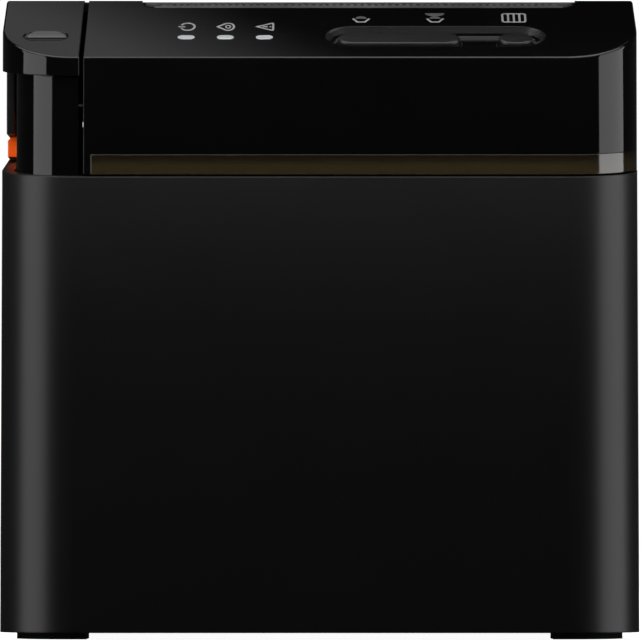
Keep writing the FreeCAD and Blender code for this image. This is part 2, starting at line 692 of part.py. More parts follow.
def bottom_plate():
    body = new_body("bottom_plate_body")
    x = half_width - d.plate_lip - d.plate_clearance
    y = half_depth - d.plate_lip - d.plate_clearance
    pad(body, "floor", "XY", rounded((-x, x), (-y, y), d.corner_radius - d.plate_lip
        - d.plate_clearance), plate_bottom, plate_top)
    for n, spot in enumerate(board_spots()):
        pad(body, f"standoff_{n}", "XY", (spot, size(3.0)), plate_bottom, board_z[0])
        pocket(body, f"standoff_bore_{n}", "XY", (spot, d.screw_radius), plate_top,
               board_z[0] + 1)
    for n, spot in enumerate(boss_spots()):
        pocket(body, f"floor_hole_{n}", "XY", (spot, d.screw_radius + 0.3), plate_bottom - 1,
               plate_top + 1)
        pocket(body, f"floor_sink_{n}", "XY", (spot, d.screw_head_radius + 0.3),
               plate_bottom - 1, plate_bottom + d.screw_head_height)
    spots = board_spots()
    vent_x = (spots[0][0] - 6.25, spots[0][0] + 19.75)
    vent_y = spots[0][1] + 9.95
    pitch = (spots[2][1] - vent_y - 6.95) / 5
    for n in range(6):
        pocket(body, f"floor_vent_{n}", "XY", pill(vent_x, (vent_y + n * pitch, vent_y
               + n * pitch + 2.4)), plate_bottom - 1, plate_top + 1)
    return piece(body, "bottom_plate")


def boss_spots():
    x, y = cavity_x - d.boss_inset, cavity_y - d.boss_inset
    return [(-x, -y), (x, -y), (x, y), (-x, y)]


def board_spots():
    x = (board_x[0] + 4, board_x[1] - 4)
    y = (board_y[0] + 4, board_y[1] - 22)
    return [(x[0], y[0]), (x[1], y[0]), (x[1], y[1]), (x[0], y[1])]


def rubber_feet():
    feet = []
    edge_x = half_width - d.foot_inset
    edge_y = half_depth - d.foot_inset
    r = d.corner_radius - d.foot_inset
    body = new_body("foot_body")
    pad(body, "foot_pad", "XY", left_front((-edge_x, -edge_x + d.foot_size),
        (-edge_y, -edge_y + d.foot_size), r), 0.0, plate_bottom)
    feet.append(body)
    for name, base, normal in (("foot_right", body, (1, 0, 0)), ("foot_rear", body, (0, 1, 0))):
        copy = doc.addObject("Part::Mirroring", name)
        copy.Source = base
        copy.Normal = FreeCAD.Vector(*normal)
        feet.append(copy)
    last = doc.addObject("Part::Mirroring", "foot_rear_right")
    last.Source = feet[1]
    last.Normal = FreeCAD.Vector(0, 1, 0)
    return piece(group("feet_group", feet + [last]), "rubber_feet")


def screw(name, along, head_from, head_to, tip, across):
    """A pan head screw with a cross slot, drawn along z or on the panel's own z."""
    head = rod(name + "_head", along, d.screw_head_radius, min_of(head_from, head_to),
               max_of(head_from, head_to), across)
    shank = rod(name + "_shank", along, d.screw_radius, min_of(head_to, tip),
                max_of(head_to, tip), across)
    deep = (head_to - head_from) / 2
    low = min_of(head_from, head_from + deep)
    high = max_of(head_from, head_from + deep)
    slots = []
    for wide, tall in ((size(1.6), size(0.25)), (size(0.25), size(1.6))):
        slots.append(box(f"{name}_slot_{len(slots)}", (across[0] - wide, across[0] + wide),
                         (across[1] - tall, across[1] + tall), (low, high)))
    return cut(name, fuse(name + "_blank", [head, shank]), slots)


def min_of(a, b):
    return a if float(a) < float(b) else b


def max_of(a, b):
    return a if float(a) > float(b) else b


def bottom_screws():
    made = []
    for n, spot in enumerate(boss_spots()):
        made.append(screw(f"bottom_screw_{n}", "z", plate_bottom, plate_bottom
                          + d.screw_head_height, plate_top + d.screw_length, spot))
    return piece(group("bottom_screw_group", made), "bottom_screws")


def board_screws():
    made = []
    for n, spot in enumerate(board_spots()):
        made.append(screw(f"board_screw_{n}", "z", board_z[1] + d.screw_head_height, board_z[1],
                          plate_top + 0.6, spot))
    return piece(group("board_screw_group", made), "board_screws")


def bucket_plan(r, top):
    """The side view of the bucket: half a circle with straight walls above it."""
    low = roll_height
    return [(roll_y - r, top), (roll_y - r, low, r, True), (roll_y, low - r, r, True),
            (roll_y + r, low), (roll_y + r, top)]


def roll_bucket():
    body = new_body("roll_bucket_body")
    deck_front = frame_y[0] - 0.5
    rear = roll_y + d.roll_radius + d.bucket_gap + d.bucket_wall
    crest = roll_y - d.roll_radius - d.bucket_gap
    boss_back = -cavity_y + d.boss_inset + d.boss_radius + 1
    boss_top = plate_top + d.boss_height + 1
    side = [(boss_back, plate_top), (rear, plate_top), (rear, bucket_top),
            (crest, bucket_top), (crest, deck_height), (deck_front, deck_height),
            (deck_front, boss_top), (boss_back, boss_top)]
    pad(body, "bucket_left_wall", "YZ", side, wall_left, bucket_left)
    deck = rectangle((deck_front, crest + 1), (deck_height - 2, deck_height))
    pad(body, "bucket_deck", "YZ", deck, wall_left, wall_right)
    pad(body, "bucket_right_wall", "YZ", side, bucket_right, wall_right)
    inner = d.roll_radius + d.bucket_gap
    pad(body, "bucket_barrel", "YZ", bucket_plan(inner + d.bucket_wall, bucket_top), wall_left,
        wall_right)
    pocket(body, "bucket_hollow", "YZ", bucket_plan(inner, bucket_top + 1), bucket_left,
           bucket_right)
    mouth = rectangle((crest - d.bucket_wall - 1, crest), (bucket_front, bucket_top + 1))
    pocket(body, "bucket_mouth", "YZ", mouth, wall_left - 1, wall_right + 1)
    boss_front = cavity_y - d.boss_inset - d.boss_radius - 1
    boss_room = rectangle((boss_front, rear + 1), (plate_top - 1, boss_top))
    pocket(body, "bucket_boss_room", "YZ", boss_room, bucket_right - 0.5, wall_right + 1)
    for name, x, drop_y, top in cable_runs():
        slot = rectangle((x[0] - 1, x[1] + 1), (drop_y - 1.2, drop_y + 1.2))
        pocket(body, f"deck_slot_{name}", "XY", slot, deck_height - 3, deck_height + 1)
    for n, spot in enumerate(frame_spots()):
        pocket(body, f"deck_bore_{n}", "XY", (spot, d.screw_radius), deck_height - 5,
               deck_height + 1)
    return piece(body, "roll_bucket")


def frame_spots():
    y = (frame_y[0] + 5, platen_y - 3.6)
    x = (steel_left + 5, steel_right - 5)
    return [(x[0], y[0]), (x[1], y[0]), (x[1], y[1]), (x[0], y[1])]


def mechanism_frame():
    body = new_body("mechanism_body")
    bottom = deck_height
    notch = d.shaft_radius + 0.6
    side = [(frame_y[0], bottom), (frame_y[1], bottom), (frame_y[1], platen_height - 4),
            (platen_y + notch, platen_height - 4), (platen_y + notch, platen_height - 2),
            (platen_y - notch, platen_height - 2), (platen_y - notch, frame_top),
            (bar_y - 3, frame_top), (frame_y[0], frame_top - 12)]
    side_left = [(p[0], p[1]) for p in side]
    side_left[4] = (platen_y + notch, platen_height - notch)
    side_left[5] = (platen_y - notch, platen_height - notch)
    pad(body, "frame_left", "YZ", side_left, steel_left - d.sheet_steel, steel_left)
    flange_y = (frame_y[0], platen_y - 1)
    pad(body, "frame_left_flange", "XY", rectangle((steel_left - d.sheet_steel, steel_left + 9),
        flange_y), bottom, bottom + d.sheet_steel)
    cross = rectangle((bar_y - d.sheet_steel, bar_y), (head_z[0] + 1, frame_top))
    pad(body, "frame_cross", "YZ", cross, steel_left - d.sheet_steel, steel_right
        + d.sheet_steel)
    pad(body, "frame_right", "YZ", side, steel_right, steel_right + d.sheet_steel)
    pad(body, "frame_right_flange", "XY", rectangle((steel_right - 9, steel_right
        + d.sheet_steel), flange_y), bottom, bottom + d.sheet_steel)
    ends = (steel_left - d.sheet_steel - 1, steel_left + 1)
    pocket(body, "frame_motor_hole", "YZ", ((pinion_y, pinion_z), d.motor_boss_radius),
           ends[0], ends[1])
    pocket(body, "frame_idler_hole", "YZ", ((idler_y, idler_z), d.idler_post_radius),
           ends[0], ends[1])
    for n, x in enumerate((ends, (steel_right - 1, steel_right + d.sheet_steel + 1))):
        pocket(body, f"frame_pin_hole_{n}", "YZ", ((head_pin_y, head_pin_z),
               d.head_pin_radius), x[0], x[1])
    for n, spot in enumerate(frame_spots()):
        pocket(body, f"frame_hole_{n}", "XY", (spot, d.screw_radius + 0.2), bottom - 1,
               bottom + d.sheet_steel + 1)
    return piece(body, "mechanism_frame")


def mechanism_screws():
    made = []
    top = deck_height + d.sheet_steel
    for n, spot in enumerate(frame_spots()):
        made.append(screw(f"frame_screw_{n}", "z", top + d.screw_head_height, top,
                          deck_height - 4, spot))
    return piece(group("frame_screw_group", made), "mechanism_screws")


def motor():
    body = new_body("motor_can")
    centre = (pinion_y, pinion_z)
    pad(body, "motor_round", "YZ", (centre, d.motor_radius), steel_left, steel_left
        + d.motor_length)
    pad(body, "motor_boss", "YZ", (centre, d.motor_boss_radius), steel_left - d.sheet_steel,
        steel_left + 1)
    pocket(body, "motor_bore", "YZ", (centre, d.motor_shaft_radius + d.running_gap),
           steel_left - d.sheet_steel - 1, steel_left + 6)
    piece(body, "motor_body")


def gear_wire(teeth, module, thin):
    """The outline of an involute gear about the origin, with a tooth on the first axis."""
    pitch = module * teeth / 2
    base = pitch * math.cos(math.radians(20))
    tip = pitch + 0.85 * module
    root = pitch - 1.1 * module
    involute = math.tan(math.radians(20)) - math.radians(20)
    half = math.pi / 2 / teeth - thin / pitch + involute
    flank = []
    start = max(root, base)
    for step in range(6):
        radius = start + (tip - start) * step / 5
        roll = math.acos(min(1.0, base / radius))
        flank.append((radius, half - (math.tan(roll) - roll)))
    edges = []
    last = None
    for tooth in range(teeth):
        turn = 2 * math.pi * tooth / teeth
        right = [polar(r, turn - a) for r, a in flank]
        left = [polar(r, turn + a) for r, a in reversed(flank)]
        foot_right = polar(root, turn - half)
        foot_left = polar(root, turn + half)
        points = ([foot_right] if root < base - 1e-6 else []) + right
        if last is not None:
            edges.append(Part.makeLine(last, points[0]))
        else:
            first = points[0]
        if root < base - 1e-6:
            edges.append(Part.makeLine(foot_right, right[0]))
        edges.append(curve(right))
        edges.append(Part.makeLine(right[-1], left[0]))
        edges.append(curve(left))
        last = left[-1]
        if root < base - 1e-6:
            edges.append(Part.makeLine(left[-1], foot_left))
            last = foot_left
    edges.append(Part.makeLine(last, first))
    return Part.Wire(edges)


def polar(radius, angle):
    return FreeCAD.Vector(radius * math.cos(angle), radius * math.sin(angle), 0)


def curve(points):
    spline = Part.BSplineCurve()
    spline.interpolate(points)
    return spline.toShape()


def gear(name, teeth, phase, bore, x, centre):
    """A gear on an axis along X, with a tooth at phase, in degrees from +Y towards +Z."""
    wire = gear_wire(int(round(float(teeth))), float(d.gear_module), float(d.backlash))
    width = float(x[1] - x[0])
    hole = Part.makeCylinder(float(bore), width + 2, FreeCAD.Vector(0, 0, -1))
    item = doc.addObject("Part::Feature", name)
    item.Shape = Part.Face(wire).extrude(FreeCAD.Vector(0, 0, width)).cut(hole)
    axes = FreeCAD.Matrix(0, 0, 1, 0, 1, 0, 0, 0, 0, 1, 0, 0, 0, 0, 0, 1)
    spin = FreeCAD.Rotation(FreeCAD.Vector(0, 0, 1), phase)
    turn = FreeCAD.Placement(axes).multiply(FreeCAD.Placement(FreeCAD.Vector(), spin))
    item.Placement = FreeCAD.Placement(
        FreeCAD.Vector(float(x[0]), float(centre[0]), float(centre[1])), turn.Rotation)
    return item


def gears():
    x = (gear_left, gear_right)
    piece(gear("platen_gear_shape", d.platen_teeth, -90.0, d.shaft_radius, x,
               (platen_y, platen_height)), "platen_gear")
    teeth = float(d.idler_teeth)
    idler_phase = 90.0 + 180.0 / teeth
    piece(gear("idler_gear_shape", d.idler_teeth, idler_phase, d.idler_post_radius
               + d.running_gap, x, (idler_y, idler_z)), "idler_gear")
    step = 360.0 / teeth
    offset = (idler_phase - float(d.pinion_angle)) % step
    small = float(d.pinion_teeth)
    pinion_phase = float(d.pinion_angle) + 180.0 - (offset / step + 0.5) * 360.0 / small
    blank = gear("pinion_teeth", d.pinion_teeth, pinion_phase, d.motor_shaft_radius, x,
                 (pinion_y, pinion_z))
    shaft = rod("pinion_shaft", "x", d.motor_shaft_radius, gear_left - 0.4, steel_left + 5,
                (pinion_y, pinion_z))
    piece(fuse("pinion_and_shaft", [blank, shaft]), "motor_pinion")
    post = rod("idler_rod", "x", d.idler_post_radius, gear_left - 0.8, steel_left,
               (idler_y, idler_z))
    head = rod("idler_cap", "x", d.idler_post_radius + 1.2, gear_left - 0.8, gear_left - 0.2,
               (idler_y, idler_z))
    piece(fuse("idler_post_shape", [post, head]), "idler_post")


def platen():
    axis = (platen_y, platen_height)
    rubber = (paper_left - 0.5, paper_right + 0.5)
    sleeve = rod("rubber_outer", "x", d.platen_radius, rubber[0], rubber[1], axis)
    bore = rod("rubber_bore", "x", d.shaft_radius, rubber[0] - 1, rubber[1] + 1, axis)
    piece(cut("rubber_sleeve", sleeve, [bore]), "platen_roller")
    ends = (gear_left - 1.6, wall_right)
    piece(rod("platen_rod", "x", d.shaft_radius, ends[0], ends[1], axis), "platen_shaft")
    bushes = []
    for n, x in enumerate(((wall_left, wall_left + d.arm_thickness + 0.3),
                           (wall_right - d.arm_thickness - 0.3, wall_right))):
        outer = rod(f"bush_outer_{n}", "x", d.bush_radius, x[0], x[1], axis)
        inner = rod(f"bush_inner_{n}", "x", d.shaft_radius + d.running_gap, x[0] - 1,
                    x[1] + 1, axis)
        bushes.append(cut(f"bush_{n}", outer, [inner]))
    piece(group("bush_group", bushes), "platen_bushes")


def platen_bracket():
    body = new_body("bracket_body")
    y = (lid_front + d.lip_thickness + 0.1, lid_front + 22)
    beam = [(y[0], platen_height + 9), (y[1], platen_height + 9), (y[1], lid_z(y[1], d.lid_top)),
            (y[0], lid_z(y[0], d.lid_top))]
    pad(body, "bracket_beam", "YZ", beam, wall_left, wall_right)
    low = platen_height - d.bush_radius - 1.4
    reach = d.bush_radius + 1.0
    arm = [(platen_y - reach, low), (platen_y + reach, low), (platen_y + reach + 6,
           platen_height + 10), (y[0], platen_height + 10), (y[0], platen_height + 6.4),
           (platen_y - reach, platen_height + 4.4)]
    for n, x in enumerate(((wall_left, wall_left + d.arm_thickness),
                           (wall_right - d.arm_thickness, wall_right))):
        pad(body, f"bracket_arm_{n}", "YZ", arm, x[0], x[1])
        pocket(body, f"bracket_bore_{n}", "YZ", ((platen_y, platen_height), d.bush_radius),
               x[0] - 0.1, x[1] + 0.1)
    hollow = rectangle((y[0] + 3, y[1] - 2), (platen_height + 8, platen_height + 11))
    pocket(body, "bracket_hollow", "YZ", hollow, wall_left + 4, wall_right - 4)
    return piece(body, "platen_bracket")


def paper_lid():
    x = (-upper_x, upper_x)
    y = (lid_front, upper_y)
    outer = sloped_block("lid_outer", rear_corners(x, y, upper_r), upper_z, lid_z, x, y, True)
    edge = round_edges(outer, "lid_edge", outer.Tip, d.lid_round,
                       lambda e: along_top(e, lid_z, lambda p: p.y < float(lid_front) + 0.01))
    outer.Tip = edge
    wall = d.lid_wall
    inner_x = (-upper_x + wall, upper_x - wall)
    inner = sloped_block("lid_inner", rear_corners(inner_x, (lid_front - 1, upper_y - wall),
                         upper_r - wall), upper_z - 1, lambda v: lid_z(v, d.lid_top), inner_x, y)
    shell = cut("lid_shell", outer, [inner])
    barrels = []
    for n in (1, 3):
        span = (n * knuckle - hinge_span / 2 + d.hinge_gap,
                (n + 1) * knuckle - hinge_span / 2 - d.hinge_gap)
        barrels.append(rod(f"lid_barrel_{n}", "x", d.hinge_radius, span[0], span[1],
                           (hinge_y, hinge_z)))
    catch = box("lid_catch", (-upper_x + wall - 0.2, catch_x), (latch_y[0] + 4, latch_y[1] - 3),
                (catch_height, catch_height + d.catch_depth))
    lower = box("lid_rear_gap", (-upper_x - 1, upper_x + 1), (hinge_y - 1.4, upper_y + 1),
                (upper_z - 1, hinge_z - 1.3))
    notch = box("lid_lever_notch", (-upper_x - 1, -upper_x + wall + 1), (lid_front - 1,
                lid_front + d.lever_notch_length), (upper_z - 1, lever_notch))
    windows = []
    for n in (0, 2, 4):
        span = (n * knuckle - hinge_span / 2 - d.hinge_gap,
                (n + 1) * knuckle - hinge_span / 2 + d.hinge_gap)
        windows.append(box(f"lid_window_{n}", span, (hinge_y - 4, upper_y + 1),
                           (upper_z - 1, hinge_z + d.hinge_radius + 0.6)))
    heel = new_body("lid_heel_room")
    low = upper_z + rise(lid_front) - 2
    pad(heel, "lid_heel_pad", "YZ", [(lid_front - 1, low), (lid_front + d.lid_heel, low),
        (lid_front, hinge_z - 7.5), (lid_front - 1, hinge_z - 7.5)], -upper_x - 1, upper_x + 1)
    trimmed = cut("lid_trimmed", shell, [lower, notch, heel] + windows)
    whole = fuse("lid_whole", [trimmed, catch] + barrels)
    bore = rod("lid_bore", "x", d.hinge_pin_radius + d.running_gap, -hinge_span / 2 - 1,
               hinge_span / 2 + 1, (hinge_y, hinge_z))
    return piece(cut("lid_bored", whole, [bore]), "paper_lid")


def exit_lip():
    x = (notch_x[0] + 0.6, notch_x[1] - 0.6)
    body = new_body("lip_body")
    back = lid_front + d.lip_thickness
    top = lid_top_z - 0.05
    side = [(lid_front - 0.1, top - d.lip_height), (back, top - d.lip_height),
            (back, lid_z(back, d.lid_top)), (lid_front, lid_z(lid_front, d.lid_top)),
            (lid_front, top), (lid_front - 0.1, top)]
    pad(body, "lip_strip", "YZ", side, x[0], x[1])
    return piece(body, "exit_lip")


def front_case():
    x = (case_left, upper_x)
    y = (front, ridge_y)
    outer = sloped_block("case_outer", right_front(x, y, upper_r), band_top, panel_z, x, y, True)
    inner_x = (case_left + d.end_wall, upper_x - d.case_wall)
    inner = sloped_block("case_inner", right_front(inner_x, (front + d.case_wall, ridge_y + 1),
                         upper_r - d.case_wall), band_top - 1,
                         lambda v: panel_z(v, d.case_wall), inner_x, y)
    edge = round_edges(outer, "case_edge", outer.Tip, d.case_edge_radius,
                       lambda e: along_top(e, panel_z, lambda p: p.y > float(ridge_y) - 0.01
                                           or p.x < float(case_left) + 0.01))
    outer.Tip = edge
    shell = cut("case_shell", outer, [inner])
    wall = box("case_end_wall", (case_left, case_left + d.end_wall), (front, ridge_y),
               (upper_z, band_top + 2))
    extra = [wall]
    tongue = (-cavity_y + 0.25, -cavity_y + 1.85)
    for n, middle in enumerate((paper_left + 12.25, paper_centre + 7.25, paper_right - 7.75)):
        span = (middle - 4, middle + 4)
        extra.append(box(f"case_tongue_{n}", span, tongue, (d.rim_height - 6, band_top + 3)))
        extra.append(box(f"case_tongue_root_{n}", span, (front + d.case_wall - 0.5, tongue[1]),
                         (band_top + 1, band_top + 3)))
    cup = new_body("trough_cup")
    trough_x = (trough_left, trough_left + d.trough_length)
    trough_y = (d.trough_start, d.trough_start + d.trough_width)
    grow = 1.2
    pad(cup, "trough_cup_pad", "XY", pill((trough_x[0] - grow, trough_x[1] + grow),
        (trough_y[0] - grow, trough_y[1] + grow)), -d.trough_depth - d.trough_floor, -0.8)
    extra.append(on_panel(cup))
    for n, spot in enumerate(panel_spots()):
        stand = new_body(f"panel_standoff_{n}")
        pad(stand, f"panel_standoff_pad_{n}", "XY", (spot, size(2.4)), -d.board_drop,
            -d.case_wall + 0.4)
        pocket(stand, f"panel_standoff_bore_{n}", "XY", (spot, d.screw_radius),
               -d.board_drop - 1, -d.case_wall - 0.4)
        extra.append(on_panel(stand))
    whole = fuse("case_whole", [shell] + extra)
    tools = []
    trough = new_body("trough_tool")
    block = pad(trough, "trough_block", "XY", pill(trough_x, trough_y), -d.trough_depth, 1.0)
    deep = -float(d.trough_depth)
    trough.Tip = bevel_edges(trough, "trough_walls", block, d.trough_slope, lambda e: all(
        abs(v.Z - deep) < 0.01 for v in e.Vertexes))
    tools.append(on_panel(trough))
    for name, left, length in (("feed", d.feed_left, d.feed_length),
                               ("mode", d.mode_left, d.mode_length)):
        hole = new_body(name + "_hole")
        pad(hole, name + "_hole_pad", "XY", key_plan(left, length, d.key_gap),
            -d.trough_depth - d.trough_floor - 1, 0.0)
        tools.append(on_panel(hole))
    for n in range(3):
        hole = new_body(f"lens_hole_{n}")
        pad(hole, f"lens_hole_pad_{n}", "XY", lens_plan(n, d.lens_gap), -d.case_wall - 1, 1.0)
        tools.append(on_panel(hole))
    notch = new_body("exit_notch")
    pad(notch, "exit_notch_pad", "XY", rounded(notch_x, (ridge_y - d.notch_depth, ridge_y + 8),
        d.notch_radius), d.panel_edge_height, over_z)
    tools.append(notch)
    return piece(cut("case_finished", whole, tools), "front_case")


def panel_spots():
    up = d.panel_depth - 10.6
    return [(case_left + 8, up), (upper_x - 12, up)]


def key_plan(left, length, grow):
    x = trough_left + left
    middle = d.trough_start + d.trough_width / 2 - 0.25
    return pill((x - grow, x + length + grow), (middle - d.key_width / 2 - grow,
                                               middle + d.key_width / 2 + grow))


def lens_plan(n, grow):
    x = lens_first + n * d.lens_pitch
    return pill((x - d.lens_length / 2 - grow, x + d.lens_length / 2 + grow),
                (d.lens_up - d.lens_width / 2 - grow, d.lens_up + d.lens_width / 2 + grow))


def keys():
    for name, left, length in (("feed", d.feed_left, d.feed_length),
                               ("mode", d.mode_left, d.mode_length)):
        body = new_body(name + "_key_body")
        under = -d.trough_depth - d.trough_floor - 0.05
        pad(body, name + "_top", "XY", key_plan(left, length, size(0.0)), under - d.key_flange,
            -d.key_sink)
        pad(body, name + "_flange", "XY", key_plan(left, length, size(1.1)),
            under - d.key_flange, under)
        middle = (trough_left + left + length / 2, d.trough_start + d.trough_width / 2 - 0.25)
        pad(body, name + "_stem", "XY", (middle, size(1.2)), -d.board_drop + 1.4
            + d.key_travel + 0.1, under)
        crown = [f for f in body.Group if f.Name == name + "_stem"][0]
        body.Tip = round_edges(body, name + "_crown", crown, size(0.5), lambda e: all(
            abs(v.Z + float(d.key_sink)) < 0.01 for v in e.Vertexes))
        piece(on_panel(body), name + "_key")


def lenses():
    made = []
    for n in range(3):
        body = new_body(f"lens_{n}")
        pad(body, f"lens_pad_{n}", "XY", lens_plan(n, size(0.0)), -d.board_drop + 0.7, 0.05)
        made.append(on_panel(body))
    return piece(group("lens_group", made), "status_lenses")


def panel_board():
    body = new_body("panel_board_body")
    x = (case_left + 5, upper_x - 9)
    pad(body, "panel_board_pad", "XY", rectangle(x, (size(4.5), d.panel_depth - 6.6)),
        -d.board_drop - d.board_thickness, -d.board_drop)
    for n, spot in enumerate(panel_spots()):
        pocket(body, f"panel_board_hole_{n}", "XY", (spot, d.screw_radius + 0.2),
               -d.board_drop - d.board_thickness - 1, -d.board_drop + 1)
    piece(on_panel(body), "panel_board")
    chips = []
    for n in range(3):
        x = lens_first + n * d.lens_pitch
        chip = new_body(f"led_{n}")
        pad(chip, f"led_pad_{n}", "XY", rectangle((x - 0.8, x + 0.8), (d.lens_up - 0.5,
            d.lens_up + 0.5)), -d.board_drop, -d.board_drop + 0.6)
        chips.append(on_panel(chip))
    piece(group("led_group", chips), "status_leds")
    switches = []
    for name, left, length in (("feed", d.feed_left, d.feed_length),
                               ("mode", d.mode_left, d.mode_length)):
        x = trough_left + left + length / 2
        y = d.trough_start + d.trough_width / 2 - 0.25
        tact = new_body(name + "_switch")
        pad(tact, name + "_switch_base", "XY", rectangle((x - 2.2, x + 2.2), (y - 2.2, y + 2.2)),
            -d.board_drop, -d.board_drop + 0.9)
        pad(tact, name + "_switch_top", "XY", ((x, y), size(1.1)), -d.board_drop + 0.5,
            -d.board_drop + 1.4)
        switches.append(on_panel(tact))
    piece(group("tact_group", switches), "key_switches")
    screws = []
    for n, spot in enumerate(panel_spots()):
        under = -d.board_drop - d.board_thickness
        made = screw(f"panel_screw_{n}", "z", under - d.screw_head_height, under,
                     -d.case_wall - 0.6, spot)
        screws.append(on_panel(made))
    piece(group("panel_screw_group", screws), "panel_screws")


def light_band():
    x = (case_left + d.end_wall, upper_x)
    y = (front, ridge_y)
    body = sloped_block("band_body", right_front(x, y, upper_r), upper_z,
                        lambda v: band_top + rise(v), x, y, True)
    deep = d.band_depth
    pocket(body, "band_hollow", "XY", right_front((x[0] - 1, upper_x - deep), (front + deep,
           ridge_y + 1), upper_r - deep), upper_z - 1, over_z)
    return piece(body, "light_band")


def tear_bar():
    body = new_body("tear_bar_body")
    count = d.tooth_count
    half = count * tooth_pitch / 2
    x = (paper_centre - half, paper_centre + half)
    start = (d.panel_depth - d.notch_depth) / steep + 0.05
    top = size(-0.05)
    wide = (x[0] - 1.2, x[1] + 1.2)
    leg = rectangle((start, start + d.bar_thickness), (top - d.bar_leg, top))
    pad(body, "bar_leg", "YZ", leg, wide[0], wide[1])
    land = rectangle((start, start + d.bar_land), (top - d.bar_thickness, top))
    pad(body, "bar_land", "YZ", land, wide[0], wide[1])
    edge = start + d.bar_land
    tooth = pad(body, "bar_tooth", "XY", [(x[0], edge - 0.1), (x[0] + tooth_pitch, edge - 0.1),
                (x[0] + tooth_pitch, edge), (x[0] + tooth_pitch / 2, edge + d.tooth_height),
                (x[0], edge)], top - d.bar_thickness, top)
    doc.recompute()
    row = body.newObject("PartDesign::LinearPattern", "bar_teeth")
    row.Originals = [tooth]
    row.Direction = (tooth.Profile[0], ["H_Axis"])
    bind(row, Length=(count - 1) * tooth_pitch, Occurrences=count)
    body.Tip = row
    return piece(on_panel(body), "tear_bar")


def post_plan(inset):
    x = (-upper_x + d.post_inset + inset, cap_right - 0.25 - inset)
    y = (front + d.post_inset + inset, front + d.post_inset + d.post_depth - inset)
    return x, y


def stem_spot():
    return (-upper_x + cap_right) / 2 + 1, front + 14


def corner_post():
    drop = d.cap_wall + d.cap_travel + 0.4
    x, y = post_plan(size(0.0))
    outer = sloped_block("post_outer", left_front(x, y, upper_r - d.post_inset),
                         shelf_height, lambda v: panel_z(v, drop), x, y)
    x, y = post_plan(d.post_wall)
    inner = sloped_block("post_inner", left_front(x, y, x[1] - x[0] - 0.5),
                         shelf_height - 1, lambda v: panel_z(v, drop + d.post_wall), x, y)
    hole = rod("post_hole", "z", d.stem_radius + d.slide_clearance, shelf_height, over_z,
               stem_spot())
    return piece(cut("post_hollow", outer, [inner, hole]), "corner_post")


def release_button():
    x = (-upper_x, cap_right)
    y = (front, ridge_y)
    outer = sloped_block("cap_outer", left_front(x, y, upper_r), cap_skirt, panel_z, x, y, True)
    edge = round_edges(outer, "cap_edge", outer.Tip, d.case_edge_radius,
                       lambda e: along_top(e, panel_z, lambda p: p.y > float(ridge_y) - 0.01
                                           or p.x > float(cap_right) - 0.01))
    outer.Tip = edge
    wall = d.cap_wall
    inner_x = (-upper_x + wall, cap_right + 1)
    inner = sloped_block("cap_inner", left_front(inner_x, (front + wall, ridge_y - wall),
                         upper_r - wall), cap_skirt - 1, lambda v: panel_z(v, wall), inner_x, y)
    shell = cut("cap_shell", outer, [inner])
    spot = stem_spot()
    stem = rod("cap_stem", "z", d.stem_radius, shelf_height + 18, panel_z(spot[1]) - 0.8, spot)
    leg_x = (latch_x - d.latch_plate / 2 - 1.3, latch_x + d.latch_plate / 2 + 0.6)
    leg_y = (latch_arm_y()[0] + 0.4, latch_arm_y()[0] + 2.8)
    top = panel_z(leg_y[0]) - 0.8
    low = wedge_z() - 0.25
    leg = new_body("cap_leg")
    flat = leg_x[0] + 0.7
    pad(leg, "cap_leg_pad", "XZ", [(leg_x[0], low), (flat, low), (leg_x[1], low + leg_x[1] - flat),
        (leg_x[1], top), (leg_x[0], top)], leg_y[0], leg_y[1])
    whole = fuse("cap_whole", [shell, stem, leg])
    groove = new_body("cap_groove")
    middle = (-upper_x + cap_right) / 2 + 0.85
    ends = (middle - d.groove_length / 2, middle + d.groove_length / 2)
    pad(groove, "cap_groove_pad", "XY", pill(ends, (d.groove_start, d.groove_start
        + d.groove_width)), -d.groove_depth - 1, 1.0)
    sweep = (d.groove_width * d.groove_width / 4 + d.groove_depth * d.groove_depth) / (
        2 * d.groove_depth)
    hollow = rod("cap_groove_hollow", "x", sweep, ends[0] - 1, ends[1] + 1,
                 (d.groove_start + d.groove_width / 2, sweep - d.groove_depth))
    scoop = doc.addObject("Part::MultiCommon", "cap_groove_scoop")
    scoop.Shapes = [groove, hollow]
    return piece(cut("cap_finished", whole, [on_panel(scoop)]), "release_button")


def latch_arm_y():
    return front + d.post_inset + d.post_depth + 0.8, latch_y[0] + 1


def wedge_z():
    """Top of the latch arm where the release button bears on it."""
    return d.panel_edge_height - d.wedge_drop


def release_spring():
    spot = stem_spot()
    outer = rod("spring_outer", "z", d.stem_radius - 0.3, shelf_height, shelf_height + 18,
                spot)
    inner = rod("spring_inner", "z", d.stem_radius - 0.9, shelf_height - 1,
                shelf_height + 19, spot)
    return piece(cut("spring_tube", outer, [inner]), "release_spring")


